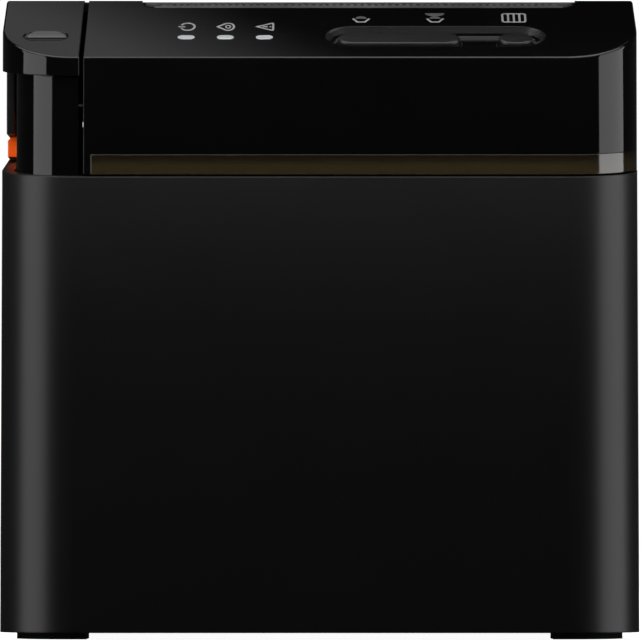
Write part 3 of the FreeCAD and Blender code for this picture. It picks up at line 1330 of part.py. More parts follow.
def latch():
    body = new_body("latch_body")
    thick = d.latch_plate / 2
    centre = (latch_x, latch_height)
    pad(body, "latch_barrel", "XZ", (centre, d.latch_barrel), latch_y[0], latch_y[1])
    hook_bottom = catch_height + d.catch_depth + 0.3
    hook_tip = catch_x + d.hook_gap
    side = (latch_x - thick, latch_x + thick)
    upright = [(side[0], latch_height), (side[1], latch_height), (side[1], hook_bottom + 3),
               (side[0], hook_bottom + 3), (hook_tip, hook_bottom + 1), (hook_tip, hook_bottom),
               (side[0], hook_bottom)]
    pad(body, "latch_upright", "XZ", upright, latch_y[0], latch_y[1])
    tab_x = -upper_x + d.tab_inset
    tab_low = d.rim_height + rise(latch_y[0]) + d.tab_rise
    tab_z = (tab_low, tab_low + d.tab_height)
    inside = -upper_x + d.lid_wall + 0.45
    tab = [(tab_x, tab_z[0]), (side[1], tab_z[0]), (side[1], tab_z[1] + 6),
           (inside + 0.7, tab_z[1] + 5), (inside, lever_notch + 0.1),
           (tab_x + 0.5, tab_z[1]), (tab_x, tab_z[1] - 0.5)]
    pad(body, "latch_tab", "XZ", tab, latch_y[0], latch_y[0] + d.tab_width)
    arm_y = latch_arm_y()
    top = wedge_z()
    low = latch_height + 13
    arm = [(side[0], low), (side[1], low), (side[1], top), (side[0], top)]
    pad(body, "latch_arm", "XZ", arm, arm_y[0], arm_y[1])
    pocket(body, "latch_bore", "XZ", (centre, d.latch_pin_radius + d.running_gap),
           latch_y[0] - 1, latch_y[1] + 1)
    piece(body, "latch_lever")
    piece(rod("latch_rod", "y", d.latch_pin_radius, latch_y[0] - 2.2, latch_y[1] + 2.2, centre),
          "latch_pin")


def print_head():
    x = (paper_left - d.head_margin, paper_right + d.head_margin)
    body = new_body("head_body")
    sink = rectangle((head_front, head_back), (head_z[0], head_z[1]))
    pad(body, "heat_sink", "YZ", sink, x[0], x[1])
    pivot = (head_pin_y, head_pin_z)
    for n, span in enumerate(((x[0], x[0] + 6), (x[1] - 6, x[1]))):
        pad(body, f"head_ear_{n}", "YZ", (pivot, d.head_pin_radius + 1.3), span[0], span[1])
    pocket(body, "head_bore", "YZ", (pivot, d.head_pin_radius + d.running_gap), x[0] - 1,
           x[1] + 1)
    piece(body, "print_head")
    middle = platen_height
    piece(box("strip_block", (paper_left, paper_right), (head_back, paper_y),
              (middle - d.strip_height / 2, middle + d.strip_height / 2 - 1)), "head_strip")
    ends = (steel_left - d.sheet_steel - 0.3, steel_right + d.sheet_steel + 0.3)
    piece(rod("head_rod", "x", d.head_pin_radius, ends[0], ends[1], pivot), "head_pin")
    springs = []
    for n, spot in enumerate((paper_centre - 22, paper_centre + 22)):
        place = (spot, platen_height - 0.7)
        outer = rod(f"head_spring_outer_{n}", "y", d.head_spring_radius, bar_y, head_front, place)
        inner = rod(f"head_spring_inner_{n}", "y", d.head_spring_radius - 0.5, bar_y - 1,
                    head_front + 1, place)
        springs.append(cut(f"head_spring_{n}", outer, [inner]))
    piece(group("head_spring_group", springs), "head_springs")


def hinge_pin():
    return piece(rod("hinge_rod", "x", d.hinge_pin_radius, -hinge_span / 2, hinge_span / 2,
                     (hinge_y, hinge_z)), "hinge_pin")


def port_row():
    """Each port: name, span across, height and mouth, evenly spaced in the window."""
    row = (("power_inlet", 11.0, 12.0, "round"), ("drawer_port", 13.0, 12.5, "open"),
           ("data_port", 12.0, 11.0, "tongue"), ("network_port", 16.0, 13.4, "open"))
    gap = (window_x[1] - window_x[0] - sum(port[1] for port in row)) / (len(row) + 1)
    left = window_x[0] + gap
    made = []
    for name, wide, tall, mouth in row:
        made.append((name, (left, left + wide), tall, mouth))
        left = left + wide + gap
    return made


def main_board():
    body = new_body("main_board_body")
    pad(body, "main_board_pad", "XY", rectangle(board_x, board_y), board_z[0], board_z[1])
    for n, spot in enumerate(board_spots()):
        pocket(body, f"main_board_hole_{n}", "XY", (spot, d.screw_radius + 0.2),
               board_z[0] - 1, board_z[1] + 1)
    piece(body, "main_board")
    top = board_z[1]
    chips = [box("processor", (paper_centre - 7, paper_centre + 7), (roll_y - 19, roll_y - 5),
                 (top, top + 1.2)),
             box("memory", (paper_centre + 12, paper_centre + 20), (roll_y - 19, roll_y - 11),
                 (top, top + 1.0)),
             box("driver", (paper_centre - 24, paper_centre - 16), (roll_y - 21, roll_y - 11),
                 (top, top + 1.4))]
    for n, x in enumerate((paper_centre - 22, paper_centre + 24)):
        spot = (x, roll_y - 26)
        chips.append(rod(f"capacitor_{n}", "z", size(3.0), top, top + 7, spot))
    piece(group("chip_group", chips), "board_chips")
    for name, x, tall, mouth in port_row():
        shell = new_body(name + "_body")
        z = (top, top + tall)
        pad(shell, name + "_shell", "XZ", rectangle(x, z), port_y - 15, port_y)
        centre = ((x[0] + x[1]) / 2, top + tall / 2)
        if mouth == "round":
            pocket(shell, name + "_mouth", "XZ", (centre, size(3.6)), port_y - 10, port_y + 1)
            pad(shell, name + "_pin", "XZ", (centre, size(1.0)), port_y - 11, port_y - 1)
        else:
            pocket(shell, name + "_mouth", "XZ", rectangle((x[0] + 1.6, x[1] - 1.6),
                   (z[0] + 1.6, z[1] - 2.4)), port_y - 11, port_y + 1)
        if mouth == "tongue":
            tongue = rectangle((centre[0] - 2.4, centre[0] + 2.4),
                               (centre[1] - 0.8, centre[1] + 0.8))
            pad(shell, name + "_tongue", "XZ", tongue, port_y - 12, port_y - 2.5)
        piece(shell, name)
    panel = new_body("port_panel_body")
    x = (bucket_left + 0.5, bucket_right - 1.6)
    z = (plate_top + 0.2, window_z[1] + 2)
    pad(panel, "port_panel_pad", "XZ", rectangle(x, z), cavity_y - 1.5, cavity_y)
    for name, x, tall, mouth in port_row():
        hole = rectangle((x[0] - 0.2, x[1] + 0.2), (top - 0.2, top + tall + 0.2))
        pocket(panel, name + "_opening", "XZ", hole, cavity_y - 2, cavity_y + 1)
    piece(panel, "port_panel")


def power_switch():
    x = (switch_x - d.switch_width / 2, switch_x + d.switch_width / 2)
    z = (d.switch_height - d.switch_tall / 2, d.switch_height + d.switch_tall / 2)
    face = rim_y + 0.3
    seat = rim_y - 0.6
    body = new_body("switch_body")
    room = 0.2
    pad(body, "switch_block", "XZ", rectangle((x[0] + room, x[1] - room), (z[0] + room,
        z[1] - room)), cavity_y - 12, face)
    edge = d.switch_frame - room
    pad(body, "switch_bezel", "XZ", rectangle((x[0] - edge, x[1] + edge), (z[0] - edge,
        z[1] + edge)), seat, face)
    well = rectangle((x[0] + 1.2, x[1] - 1.2), (z[0] + 1.2, z[1] - 1.2))
    pocket(body, "switch_well", "XZ", well, face - 7, face + 1)
    piece(body, "switch_housing")
    rocker = new_body("rocker_body")
    half = d.switch_tall / 2 - 2.0
    shape = [(size(-1.6), 1.4 - half), (size(1.8), -half), (size(1.0), size(0.0)),
             (size(1.8), half), (size(-1.6), half - 1.4)]
    pad(rocker, "rocker_pad", "YZ", shape, x[0] + 1.5, x[1] - 1.5)
    rocker.Placement = FreeCAD.Placement(
        FreeCAD.Vector(), FreeCAD.Rotation(FreeCAD.Vector(1, 0, 0), float(d.rocker_tilt)))
    bind(rocker, Placement__Base__y=face - 2.2, Placement__Base__z=d.switch_height,
         Placement__Rotation__Angle=d.rocker_tilt)
    piece(rocker, "power_rocker")


def cable_runs():
    """Each flat cable: name, span across, where it drops, and where it starts."""
    return (("panel_cable", (paper_centre - 5, paper_centre + 7), front + 7.75,
             panel_z(front + 7.75, d.board_drop + d.board_thickness) - 0.3),
            ("head_cable", (paper_centre + 10, paper_centre + 28), head_pin_y,
             head_pin_z - d.head_pin_radius - 1.6),
            ("motor_cable", (steel_left + 13, steel_left + 18), pinion_y,
             pinion_z - d.motor_radius))


def cables():
    bend = 5.0
    half = 0.2
    level = board_z[1] + 1.4
    plug_y = (board_y[0] + 3, board_y[0] + 7)
    for name, x, drop_y, top in cable_runs():
        body = new_body(name + "_body")
        run = [(drop_y - half, top), (drop_y - half, level + bend, size(bend + half), True),
               (drop_y + bend, level - half), (plug_y[0], level - half),
               (plug_y[0], level + half), (drop_y + bend, level + half, size(bend - half), False),
               (drop_y + half, level + bend), (drop_y + half, top)]
        pad(body, name + "_strip", "YZ", run, x[0], x[1])
        piece(body, name)
    plugs = []
    for name, x, drop_y, top in cable_runs():
        plugs.append(box(name + "_plug", (x[0] - 0.8, x[1] + 0.8), plug_y,
                         (board_z[1], board_z[1] + 3)))
    piece(group("plug_group", plugs), "board_plugs")


def sensors():
    crest = roll_y - d.roll_radius - d.bucket_gap
    piece(box("sensor_block", (paper_centre - 4, paper_centre + 4), (crest - 1.6, crest
              + 2.4), (bucket_front, bucket_front + 3)), "paper_sensor")
    left = steel_right + d.sheet_steel
    piece(box("cover_block", (left, left + d.sensor_width), (platen_y - 16, platen_y - 8),
              (frame_top - 8, frame_top - 1)), "cover_sensor")


def build():
    base_shell()
    bottom_plate()
    rubber_feet()
    bottom_screws()
    board_screws()
    roll_bucket()
    mechanism_frame()
    mechanism_screws()
    motor()
    gears()
    platen()
    platen_bracket()
    paper_lid()
    exit_lip()
    front_case()
    keys()
    lenses()
    panel_board()
    light_band()
    tear_bar()
    corner_post()
    release_button()
    release_spring()
    latch()
    print_head()
    hinge_pin()
    main_board()
    power_switch()
    cables()
    sensors()


build()
doc.recompute()
faults = []
for item in doc.Objects:
    if "Invalid" in item.State or "Error" in item.State:
        faults.append(f"{item.Name}: {item.State}")
for item in pieces:
    if item.Shape.isNull() or not item.Shape.isValid() or not item.Shape.Solids:
        faults.append(f"{item.Label}: no valid solid")
if faults:
    raise SystemExit("\n".join(faults))
os.makedirs("parts", exist_ok=True)
for item in pieces:
    item.Shape.exportStep(f"parts/{item.Label}.step")
print(len(pieces), "pieces")
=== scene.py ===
import json
import math
import bmesh
import bpy
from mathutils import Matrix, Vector


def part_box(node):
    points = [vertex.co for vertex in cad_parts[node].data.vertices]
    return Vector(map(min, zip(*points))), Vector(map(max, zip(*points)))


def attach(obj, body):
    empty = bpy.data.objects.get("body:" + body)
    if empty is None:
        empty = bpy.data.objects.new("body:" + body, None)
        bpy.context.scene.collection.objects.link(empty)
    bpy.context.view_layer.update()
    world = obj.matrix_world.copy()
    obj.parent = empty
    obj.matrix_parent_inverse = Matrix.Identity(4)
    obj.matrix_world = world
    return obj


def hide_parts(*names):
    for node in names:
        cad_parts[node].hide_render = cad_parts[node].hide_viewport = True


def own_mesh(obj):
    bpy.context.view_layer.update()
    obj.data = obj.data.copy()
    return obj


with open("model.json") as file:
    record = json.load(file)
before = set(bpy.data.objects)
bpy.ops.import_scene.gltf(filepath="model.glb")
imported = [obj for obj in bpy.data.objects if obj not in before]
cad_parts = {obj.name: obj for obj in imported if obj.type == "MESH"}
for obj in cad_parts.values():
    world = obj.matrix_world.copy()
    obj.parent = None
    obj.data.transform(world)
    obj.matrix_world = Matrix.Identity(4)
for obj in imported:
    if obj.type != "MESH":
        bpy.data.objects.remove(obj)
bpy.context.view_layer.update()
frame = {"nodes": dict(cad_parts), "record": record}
nodes = frame["nodes"]
scene = bpy.context.scene
scene.view_settings.view_transform = "Standard"
print("frame loaded,", len(nodes), "pieces")


# camera
cameraSet = {"place": (0.0, -1.162275, 0.02007), "aim": (0.0, 0.0, 0.06417),
             "lens": 319.3, "sensor": 36.0, "shiftX": 0.0012}
cameraData = bpy.data.cameras.new("productCamera")
cameraData.lens = cameraSet["lens"]
cameraData.sensor_width = cameraSet["sensor"]
cameraData.shift_x = cameraSet["shiftX"]
camera = bpy.data.objects.new("productCamera", cameraData)
camera.location = cameraSet["place"]
sightLine = Vector(cameraSet["aim"]) - Vector(cameraSet["place"])
camera.rotation_euler = sightLine.to_track_quat("-Z", "Y").to_euler()
scene.collection.objects.link(camera)
scene.camera = camera
print("camera set")


# studio: white world and floor, a dim surround for reflections, softboxes
studio = {"worldSeen": 1.0, "worldFill": 0.10, "floorGlow": 0.95, "floorTone": 0.80,
          "floorSize": 6.0, "floorDrop": 0.0003, "surroundGlow": 0.022, "surroundRadius": 4.0}
softboxes = {
    "softboxLeft": {"corner": (-0.055, -0.055), "from": 44.4, "to": 88.0, "side": -1, "away": 0.70,
                    "low": -0.30, "high": 0.62, "glow": 1.66},
    "softboxRight": {"corner": (0.055, -0.055), "from": 54.6, "to": 105.4, "side": 1, "away": 0.70,
                     "low": -0.30, "high": 0.62, "glow": 1.68},
}
fillLights = {
    "frontStrip": {"middle": (0.0, -0.086, 0.118), "facing": (0.0, 0.55, -0.84), "wide": 0.36,
                   "tall": 0.03, "glow": 6.0, "mirrored": False},
    "topLight": {"middle": (-0.20, -0.02, 0.95), "facing": (0.0, 0.0, -1.0), "wide": 0.55,
                 "tall": 0.40, "glow": 1.5, "mirrored": True},
    "rearLight": {"middle": (0.0, 0.90, 0.55), "facing": (0.0, -0.9, -0.45), "wide": 0.80,
                  "tall": 0.50, "glow": 1.2, "mirrored": False},
    "leftFill": {"middle": (-0.90, 0.30, 0.30), "facing": (0.9, -0.3, -0.2), "wide": 0.6,
                 "tall": 0.6, "glow": 1.5, "mirrored": False},
    "rightFill": {"middle": (0.90, 0.30, 0.30), "facing": (-0.9, -0.3, -0.2), "wide": 0.6,
                  "tall": 0.6, "glow": 0.8, "mirrored": False},
    "edgeCard": {"middle": (-0.05, -0.15, 0.95), "facing": (0.0, 0.0, -1.0), "wide": 1.3,
                 "tall": 0.80, "glow": 2.0, "mirrored": True, "lights": False},
}
panelCard = {"middle": (0.0, 0.628, 0.855), "facing": (0.0, -0.6769, -0.7361), "wide": 0.80,
             "tall": 0.40, "glow": 0.31, "edge": -0.0006, "slant": 2.35, "span": 0.0963, "curve": 1.4,
             "most": 0.92, "least": 0.035}


def meshPiece(name, verts, faces, material=None):
    mesh = bpy.data.meshes.new(name)
    mesh.from_pydata([tuple(v) for v in verts], [], faces)
    mesh.update()
    made = bpy.data.objects.new(name, mesh)
    scene.collection.objects.link(made)
    if material:
        mesh.materials.append(material)
    return made


def standingSheet(name, middle, facing, wide, tall, material):
    ahead = Vector(facing).normalized()
    across = Vector((0, 0, 1)).cross(ahead)
    if across.length < 0.01:
        across = Vector((1, 0, 0))
    across.normalize()
    up = ahead.cross(across)
    centre = Vector(middle)
    corners = [centre + across * wide / 2 * i + up * tall / 2 * j
               for i, j in ((-1, -1), (1, -1), (1, 1), (-1, 1))]
    sheet = meshPiece(name, corners, [(0, 1, 2, 3)], material)
    uv = sheet.data.uv_layers.new(name="sheet")
    for corner, spot in zip(uv.data, ((0, 0), (1, 0), (1, 1), (0, 1))):
        corner.uv = spot
    sheet.visible_camera = False
    return sheet


def hideFrom(sheet, *rays):
    for ray in rays:
        setattr(sheet, "visible_" + ray, False)


def glowMaterial(name, strength):
    made = bpy.data.materials.new(name)
    made.use_nodes = True
    tree = made.node_tree
    tree.nodes.clear()
    glow = tree.nodes.new("ShaderNodeEmission")
    glow.inputs["Strength"].default_value = strength
    out = tree.nodes.new("ShaderNodeOutputMaterial")
    tree.links.new(glow.outputs[0], out.inputs["Surface"])
    return made, tree, glow


def mathNode(tree, kind, first, second=0.5, third=None):
    made = tree.nodes.new("ShaderNodeMath")
    made.operation = kind
    for n, value in enumerate((first, second, third)):
        if value is None:
            continue
        if isinstance(value, (int, float)):
            made.inputs[n].default_value = value
        else:
            tree.links.new(value, made.inputs[n])
    return made.outputs[0]


def buildWorld():
    world = bpy.data.worlds.new("studioWorld")
    scene.world = world
    world.use_nodes = True
    tree = world.node_tree
    back = tree.nodes["Background"]
    back.inputs["Color"].default_value = (1, 1, 1, 1)
    path = tree.nodes.new("ShaderNodeLightPath")
    seen = mathNode(tree, "MAXIMUM", path.outputs["Is Camera Ray"], path.outputs["Is Glossy Ray"])
    seen = mathNode(tree, "MAXIMUM", seen, path.outputs["Is Transmission Ray"])
    gain = mathNode(tree, "MULTIPLY_ADD", seen, studio["worldSeen"] - studio["worldFill"],
                    studio["worldFill"])
    tree.links.new(gain, back.inputs["Strength"])


def buildFloor():
    made = bpy.data.materials.new("floorPaper")
    made.use_nodes = True
    tree = made.node_tree
    tree.nodes.clear()
    paper = tree.nodes.new("ShaderNodeBsdfDiffuse")
    tone = studio["floorTone"]
    paper.inputs["Color"].default_value = (tone, tone, tone, 1)
    glow = tree.nodes.new("ShaderNodeEmission")
    path = tree.nodes.new("ShaderNodeLightPath")
    tree.links.new(mathNode(tree, "MULTIPLY", path.outputs["Is Camera Ray"], studio["floorGlow"]),
                   glow.inputs["Strength"])
    both = tree.nodes.new("ShaderNodeAddShader")
    out = tree.nodes.new("ShaderNodeOutputMaterial")
    tree.links.new(paper.outputs[0], both.inputs[0])
    tree.links.new(glow.outputs[0], both.inputs[1])
    tree.links.new(both.outputs[0], out.inputs["Surface"])
    half = studio["floorSize"] / 2
    level = -studio["floorDrop"]
    floor = meshPiece("floor", [(-half, -half, level), (half, -half, level), (half, half, level),
                                (-half, half, level)], [(0, 1, 2, 3)], made)
    floor.visible_glossy = False
    floor.visible_diffuse = False
    floor.visible_shadow = False


def buildSurround():
    ball = bmesh.new()
    bmesh.ops.create_icosphere(ball, subdivisions=3, radius=studio["surroundRadius"])
    mesh = bpy.data.meshes.new("surround")
    ball.to_mesh(mesh)
    ball.free()
    made = bpy.data.objects.new("surround", mesh)
    scene.collection.objects.link(made)
    mesh.materials.append(glowMaterial("surroundGlow", studio["surroundGlow"])[0])
    hideFrom(made, "camera", "diffuse", "transmission", "volume_scatter", "shadow")


def buildSoftboxes():
    for name, box in softboxes.items():
        middle = math.radians((box["from"] + box["to"]) / 2)
        spread = math.radians((box["to"] - box["from"]) / 2)
        out = Vector((box["side"] * math.sin(middle), -math.cos(middle), 0))
        centre = Vector((*box["corner"], (box["low"] + box["high"]) / 2)) + out * box["away"]
        sheet = standingSheet(name, centre, -out, 2 * box["away"] * math.tan(spread),
                              box["high"] - box["low"], glowMaterial(name, box["glow"])[0])
        hideFrom(sheet, "diffuse")
    for name, light in fillLights.items():
        sheet = standingSheet(name, light["middle"], light["facing"], light["wide"], light["tall"],
                              glowMaterial(name, light["glow"])[0])
        if not light["mirrored"]:
            hideFrom(sheet, "glossy", "transmission")
        if not light.get("lights", True):
            hideFrom(sheet, "diffuse", "transmission", "shadow")


def buildPanelCard():
    material, tree, glow = glowMaterial("panelCard", panelCard["glow"])
    place = tree.nodes.new("ShaderNodeTexCoord")
    split = tree.nodes.new("ShaderNodeSeparateXYZ")
    tree.links.new(place.outputs["UV"], split.inputs[0])
    across = mathNode(tree, "MULTIPLY_ADD", split.outputs["X"], -panelCard["wide"] / panelCard["span"],
                      (panelCard["edge"] + panelCard["wide"] / 2) / panelCard["span"])
    lift = panelCard["slant"] * panelCard["tall"] / panelCard["span"]
    fade = mathNode(tree, "MULTIPLY_ADD", split.outputs["Y"], lift, across)
    fade = mathNode(tree, "SUBTRACT", fade, lift / 2)
    fade = mathNode(tree, "POWER", mathNode(tree, "MAXIMUM", fade, 0.0), panelCard["curve"])
    fade = mathNode(tree, "MINIMUM", fade, panelCard["most"])
    fade = mathNode(tree, "MAXIMUM", fade, panelCard["least"])
    tree.links.new(mathNode(tree, "MULTIPLY", fade, panelCard["glow"]), glow.inputs["Strength"])
    card = standingSheet("panelCard", panelCard["middle"], panelCard["facing"],
                         panelCard["wide"], panelCard["tall"], material)
    hideFrom(card, "diffuse", "transmission", "volume_scatter", "shadow")


buildWorld()
buildFloor()
buildSurround()
buildSoftboxes()
buildPanelCard()
print("studio set")


# node groups shared by the finishes
def newGroup(name, ins, outs):
    group = bpy.data.node_groups.new(name, "ShaderNodeTree")
    for label, kind, value in ins:
        socket = group.interface.new_socket(label, in_out="INPUT", socket_type=kind)
        socket.default_value = value
    for label, kind in outs:
        group.interface.new_socket(label, in_out="OUTPUT", socket_type=kind)
    return group, group.nodes.new("NodeGroupInput"), group.nodes.new("NodeGroupOutput")


floatSocket, vectorSocket = "NodeSocketFloat", "NodeSocketVector"


def noiseOf(tree, vector, scale, detail, distortion=0.0):
    made = tree.nodes.new("ShaderNodeTexNoise")
    made.inputs["Detail"].default_value = detail
    made.inputs["Distortion"].default_value = distortion
    if isinstance(scale, (int, float)):
        made.inputs["Scale"].default_value = scale
    else:
        tree.links.new(scale, made.inputs["Scale"])
    tree.links.new(vector, made.inputs["Vector"])
    return made.outputs[0]


def spread(tree, value, low, high, newLow=0.0, newHigh=1.0):
    made = tree.nodes.new("ShaderNodeMapRange")
    made.inputs["From Min"].default_value = low
    made.inputs["From Max"].default_value = high
    made.inputs["To Min"].default_value = newLow
    made.inputs["To Max"].default_value = newHigh
    tree.links.new(value, made.inputs["Value"])
    return made.outputs[0]


def objectPlace(tree):
    return tree.nodes.new("ShaderNodeTexCoord").outputs["Object"]


def makeMouldGrain():
    group, ins, outs = newGroup("mouldGrain", [("Grain Scale", floatSocket, 2600.0)],
                                [("Height", floatSocket), ("Mottle", floatSocket)])
    place = objectPlace(group)
    fine = noiseOf(group, place, ins.outputs["Grain Scale"], 1.5)
    broad = noiseOf(group, place, mathNode(group, "MULTIPLY", ins.outputs["Grain Scale"], 0.03), 4.0)
    group.links.new(fine, outs.inputs["Height"])
    group.links.new(spread(group, broad, 0.35, 0.65), outs.inputs["Mottle"])
    return group


def makeEdgeWear():
    group, ins, outs = newGroup("edgeWear", [("Radius", floatSocket, 0.0003),
                                             ("Amount", floatSocket, 0.3)],
                                [("Mask", floatSocket), ("Normal", vectorSocket)])
    soft = group.nodes.new("ShaderNodeBevel")
    soft.samples = 6
    group.links.new(ins.outputs["Radius"], soft.inputs["Radius"])
    plain = group.nodes.new("ShaderNodeNewGeometry")
    dot = group.nodes.new("ShaderNodeVectorMath")
    dot.operation = "DOT_PRODUCT"
    group.links.new(soft.outputs[0], dot.inputs[0])
    group.links.new(plain.outputs["Normal"], dot.inputs[1])
    turn = mathNode(group, "SUBTRACT", 1.0, dot.outputs["Value"])
    patch = spread(group, noiseOf(group, objectPlace(group), 420.0, 4.0), 0.42, 0.68)
    mask = mathNode(group, "MULTIPLY", mathNode(group, "MULTIPLY", turn, 6.0), patch)
    mask = mathNode(group, "MULTIPLY", mask, ins.outputs["Amount"])
    group.links.new(mathNode(group, "MINIMUM", mask, 1.0), outs.inputs["Mask"])
    group.links.new(soft.outputs[0], outs.inputs["Normal"])
    return group


def makeHandlingMarks():
    group, ins, outs = newGroup("handlingMarks", [("Patch Scale", floatSocket, 55.0),
                                                  ("Amount", floatSocket, 0.2)],
                                [("Smudge", floatSocket)])
    patch = noiseOf(group, objectPlace(group), ins.outputs["Patch Scale"], 5.0, 0.6)
    smudge = mathNode(group, "MULTIPLY", spread(group, patch, 0.45, 0.75), ins.outputs["Amount"])
    group.links.new(smudge, outs.inputs["Smudge"])
    return group


def makeDustFilm():
    group, ins, outs = newGroup("dustFilm", [("Amount", floatSocket, 0.1)], [("Mask", floatSocket)])
    plain = group.nodes.new("ShaderNodeNewGeometry")
    split = group.nodes.new("ShaderNodeSeparateXYZ")
    group.links.new(plain.outputs["Normal"], split.inputs[0])
    upward = spread(group, split.outputs["Z"], 0.4, 1.0)
    speck = spread(group, noiseOf(group, objectPlace(group), 1500.0, 3.0), 0.5, 0.8)
    mask = mathNode(group, "MULTIPLY", mathNode(group, "MULTIPLY", upward, speck),
                    ins.outputs["Amount"])
    group.links.new(mask, outs.inputs["Mask"])
    return group


def makeBrushedLines():
    group, ins, outs = newGroup("brushedLines", [("Stretch", vectorSocket, (40.0, 3000.0, 3000.0))],
                                [("Height", floatSocket), ("Streak", floatSocket)])
    pull = group.nodes.new("ShaderNodeVectorMath")
    pull.operation = "MULTIPLY"
    group.links.new(objectPlace(group), pull.inputs[0])
    group.links.new(ins.outputs["Stretch"], pull.inputs[1])
    lines = noiseOf(group, pull.outputs[0], 1.0, 3.0)
    group.links.new(lines, outs.inputs["Height"])
    group.links.new(spread(group, lines, 0.3, 0.7), outs.inputs["Streak"])
    return group


mouldGrain = makeMouldGrain()
edgeWear = makeEdgeWear()
handlingMarks = makeHandlingMarks()
dustFilm = makeDustFilm()
brushedLines = makeBrushedLines()
print("node groups made")


# finishes
def newFinish(name):
    made = bpy.data.materials.new(name)
    made.use_nodes = True
    return made, made.node_tree, made.node_tree.nodes["Principled BSDF"]


def useGroup(tree, group, **values):
    made = tree.nodes.new("ShaderNodeGroup")
    made.node_tree = group
    for label, value in values.items():
        made.inputs[label.replace("_", " ")].default_value = value
    return made


def mixColour(tree, factor, first, second):
    made = tree.nodes.new("ShaderNodeMix")
    made.data_type = "RGBA"
    tree.links.new(factor, made.inputs[0])
    for n, value in ((6, first), (7, second)):
        if isinstance(value, (tuple, list)):
            made.inputs[n].default_value = (*value[:3], 1)
        else:
            tree.links.new(value, made.inputs[n])
    return made.outputs[2]


def bumpOf(tree, height, normal, strength, depth):
    made = tree.nodes.new("ShaderNodeBump")
    made.inputs["Strength"].default_value = strength
    made.inputs["Distance"].default_value = depth
    tree.links.new(height, made.inputs["Height"])
    tree.links.new(normal, made.inputs["Normal"])
    return made.outputs[0]


dustColour = (0.22, 0.21, 0.20)
panelPlane = {"front": -62.275, "edge": 112.8, "lean": 26.2, "lip": -0.00008, "fade": 0.0002}


# height above the panel face, in metres
def panelHeight(tree, split):
    lean = math.radians(panelPlane["lean"])
    level = (panelPlane["front"] * math.sin(lean) - panelPlane["edge"] * math.cos(lean)) / 1000
    out = mathNode(tree, "MULTIPLY_ADD", split.outputs["Z"], math.cos(lean), level)
    return mathNode(tree, "MULTIPLY_ADD", split.outputs["Y"], -math.sin(lean), out)


def splitPlace(tree):
    split = tree.nodes.new("ShaderNodeSeparateXYZ")
    tree.links.new(objectPlace(tree), split.inputs[0])
    return split


# walls and floor of the key trough: below the panel face and clear of the outer walls
def wellMask(tree, well, split, out):
    mask = mathNode(tree, "LESS_THAN", out, panelPlane["lip"])
    for kind, axis, limit in (("GREATER_THAN", "X", well["from"]), ("LESS_THAN", "X", well["to"]),
                              ("GREATER_THAN", "Y", well["behind"])):
        mask = mathNode(tree, "MULTIPLY", mask, mathNode(tree, kind, split.outputs[axis], limit))
    return mask


def mouldedFinish(name, look):
    material, tree, shader = newFinish(name)
    grain = useGroup(tree, mouldGrain, Grain_Scale=look["grain"])
    wear = useGroup(tree, edgeWear, Radius=look["edge"] / 1000, Amount=look["wear"])
    marks = useGroup(tree, handlingMarks, Amount=look["smudge"])
    dust = useGroup(tree, dustFilm, Amount=look["dust"])
    colour = mixColour(tree, grain.outputs["Mottle"], look["dark"], look["light"])
    colour = mixColour(tree, wear.outputs["Mask"], colour, look["worn"])
    colour = mixColour(tree, dust.outputs["Mask"], colour, dustColour)
    tree.links.new(colour, shader.inputs["Base Color"])
    rough = mathNode(tree, "MULTIPLY_ADD", marks.outputs["Smudge"], look["roughSpread"], look["rough"])
    rough = mathNode(tree, "MULTIPLY_ADD", dust.outputs["Mask"], 0.5, rough)
    tree.links.new(rough, shader.inputs["Roughness"])
    tree.links.new(bumpOf(tree, grain.outputs["Height"], wear.outputs["Normal"], look["relief"],
                          0.00002), shader.inputs["Normal"])
    if "ior" in look:
        shader.inputs["IOR"].default_value = look["ior"]
    # below the panel face: painted shade darkens the trough floor to the floor colour under satin walls
    # in their own lighter colour, and darkens the lower sides of the keys
    if "well" in look or "shadedSkirt" in look:
        inner = look.get("well") or look["shadedSkirt"]
        split = splitPlace(tree)
        out = panelHeight(tree, split)
        deep = spread(tree, out, inner["deep"], inner["deep"] - panelPlane["fade"])
        mask = deep
        tone = inner["floor"]
        if "well" in look:
            mask = wellMask(tree, inner, split, out)
            tone = mixColour(tree, deep, inner["colour"], inner["floor"])
        tree.links.new(mixColour(tree, mask, colour, tone), shader.inputs["Base Color"])
        if "well" in look:
            mask = mathNode(tree, "MULTIPLY", mask, mathNode(tree, "SUBTRACT", 1.0, deep))
        rough = mathNode(tree, "MULTIPLY_ADD", mask, inner["rough"] - look["rough"], rough)
        tree.links.new(rough, shader.inputs["Roughness"])
    return material


def metalFinish(name, look):
    material, tree, shader = newFinish(name)
    lines = useGroup(tree, brushedLines, Stretch=look["stretch"])
    wear = useGroup(tree, edgeWear, Radius=look["edge"] / 1000, Amount=look["wear"])
    marks = useGroup(tree, handlingMarks, Amount=1.0)
    colour = mixColour(tree, lines.outputs["Streak"], look["dark"], look["light"])
    colour = mixColour(tree, marks.outputs["Smudge"], colour, look["dull"])
    colour = mixColour(tree, wear.outputs["Mask"], colour, look["worn"])
    tree.links.new(colour, shader.inputs["Base Color"])
    shader.inputs["Metallic"].default_value = 1.0
    rough = mathNode(tree, "MULTIPLY_ADD", lines.outputs["Streak"], look["roughSpread"], look["rough"])
    rough = mathNode(tree, "MULTIPLY_ADD", marks.outputs["Smudge"], 0.12, rough)
    tree.links.new(rough, shader.inputs["Roughness"])
    tree.links.new(bumpOf(tree, lines.outputs["Height"], wear.outputs["Normal"], look["relief"],
                          0.00001), shader.inputs["Normal"])
    return material


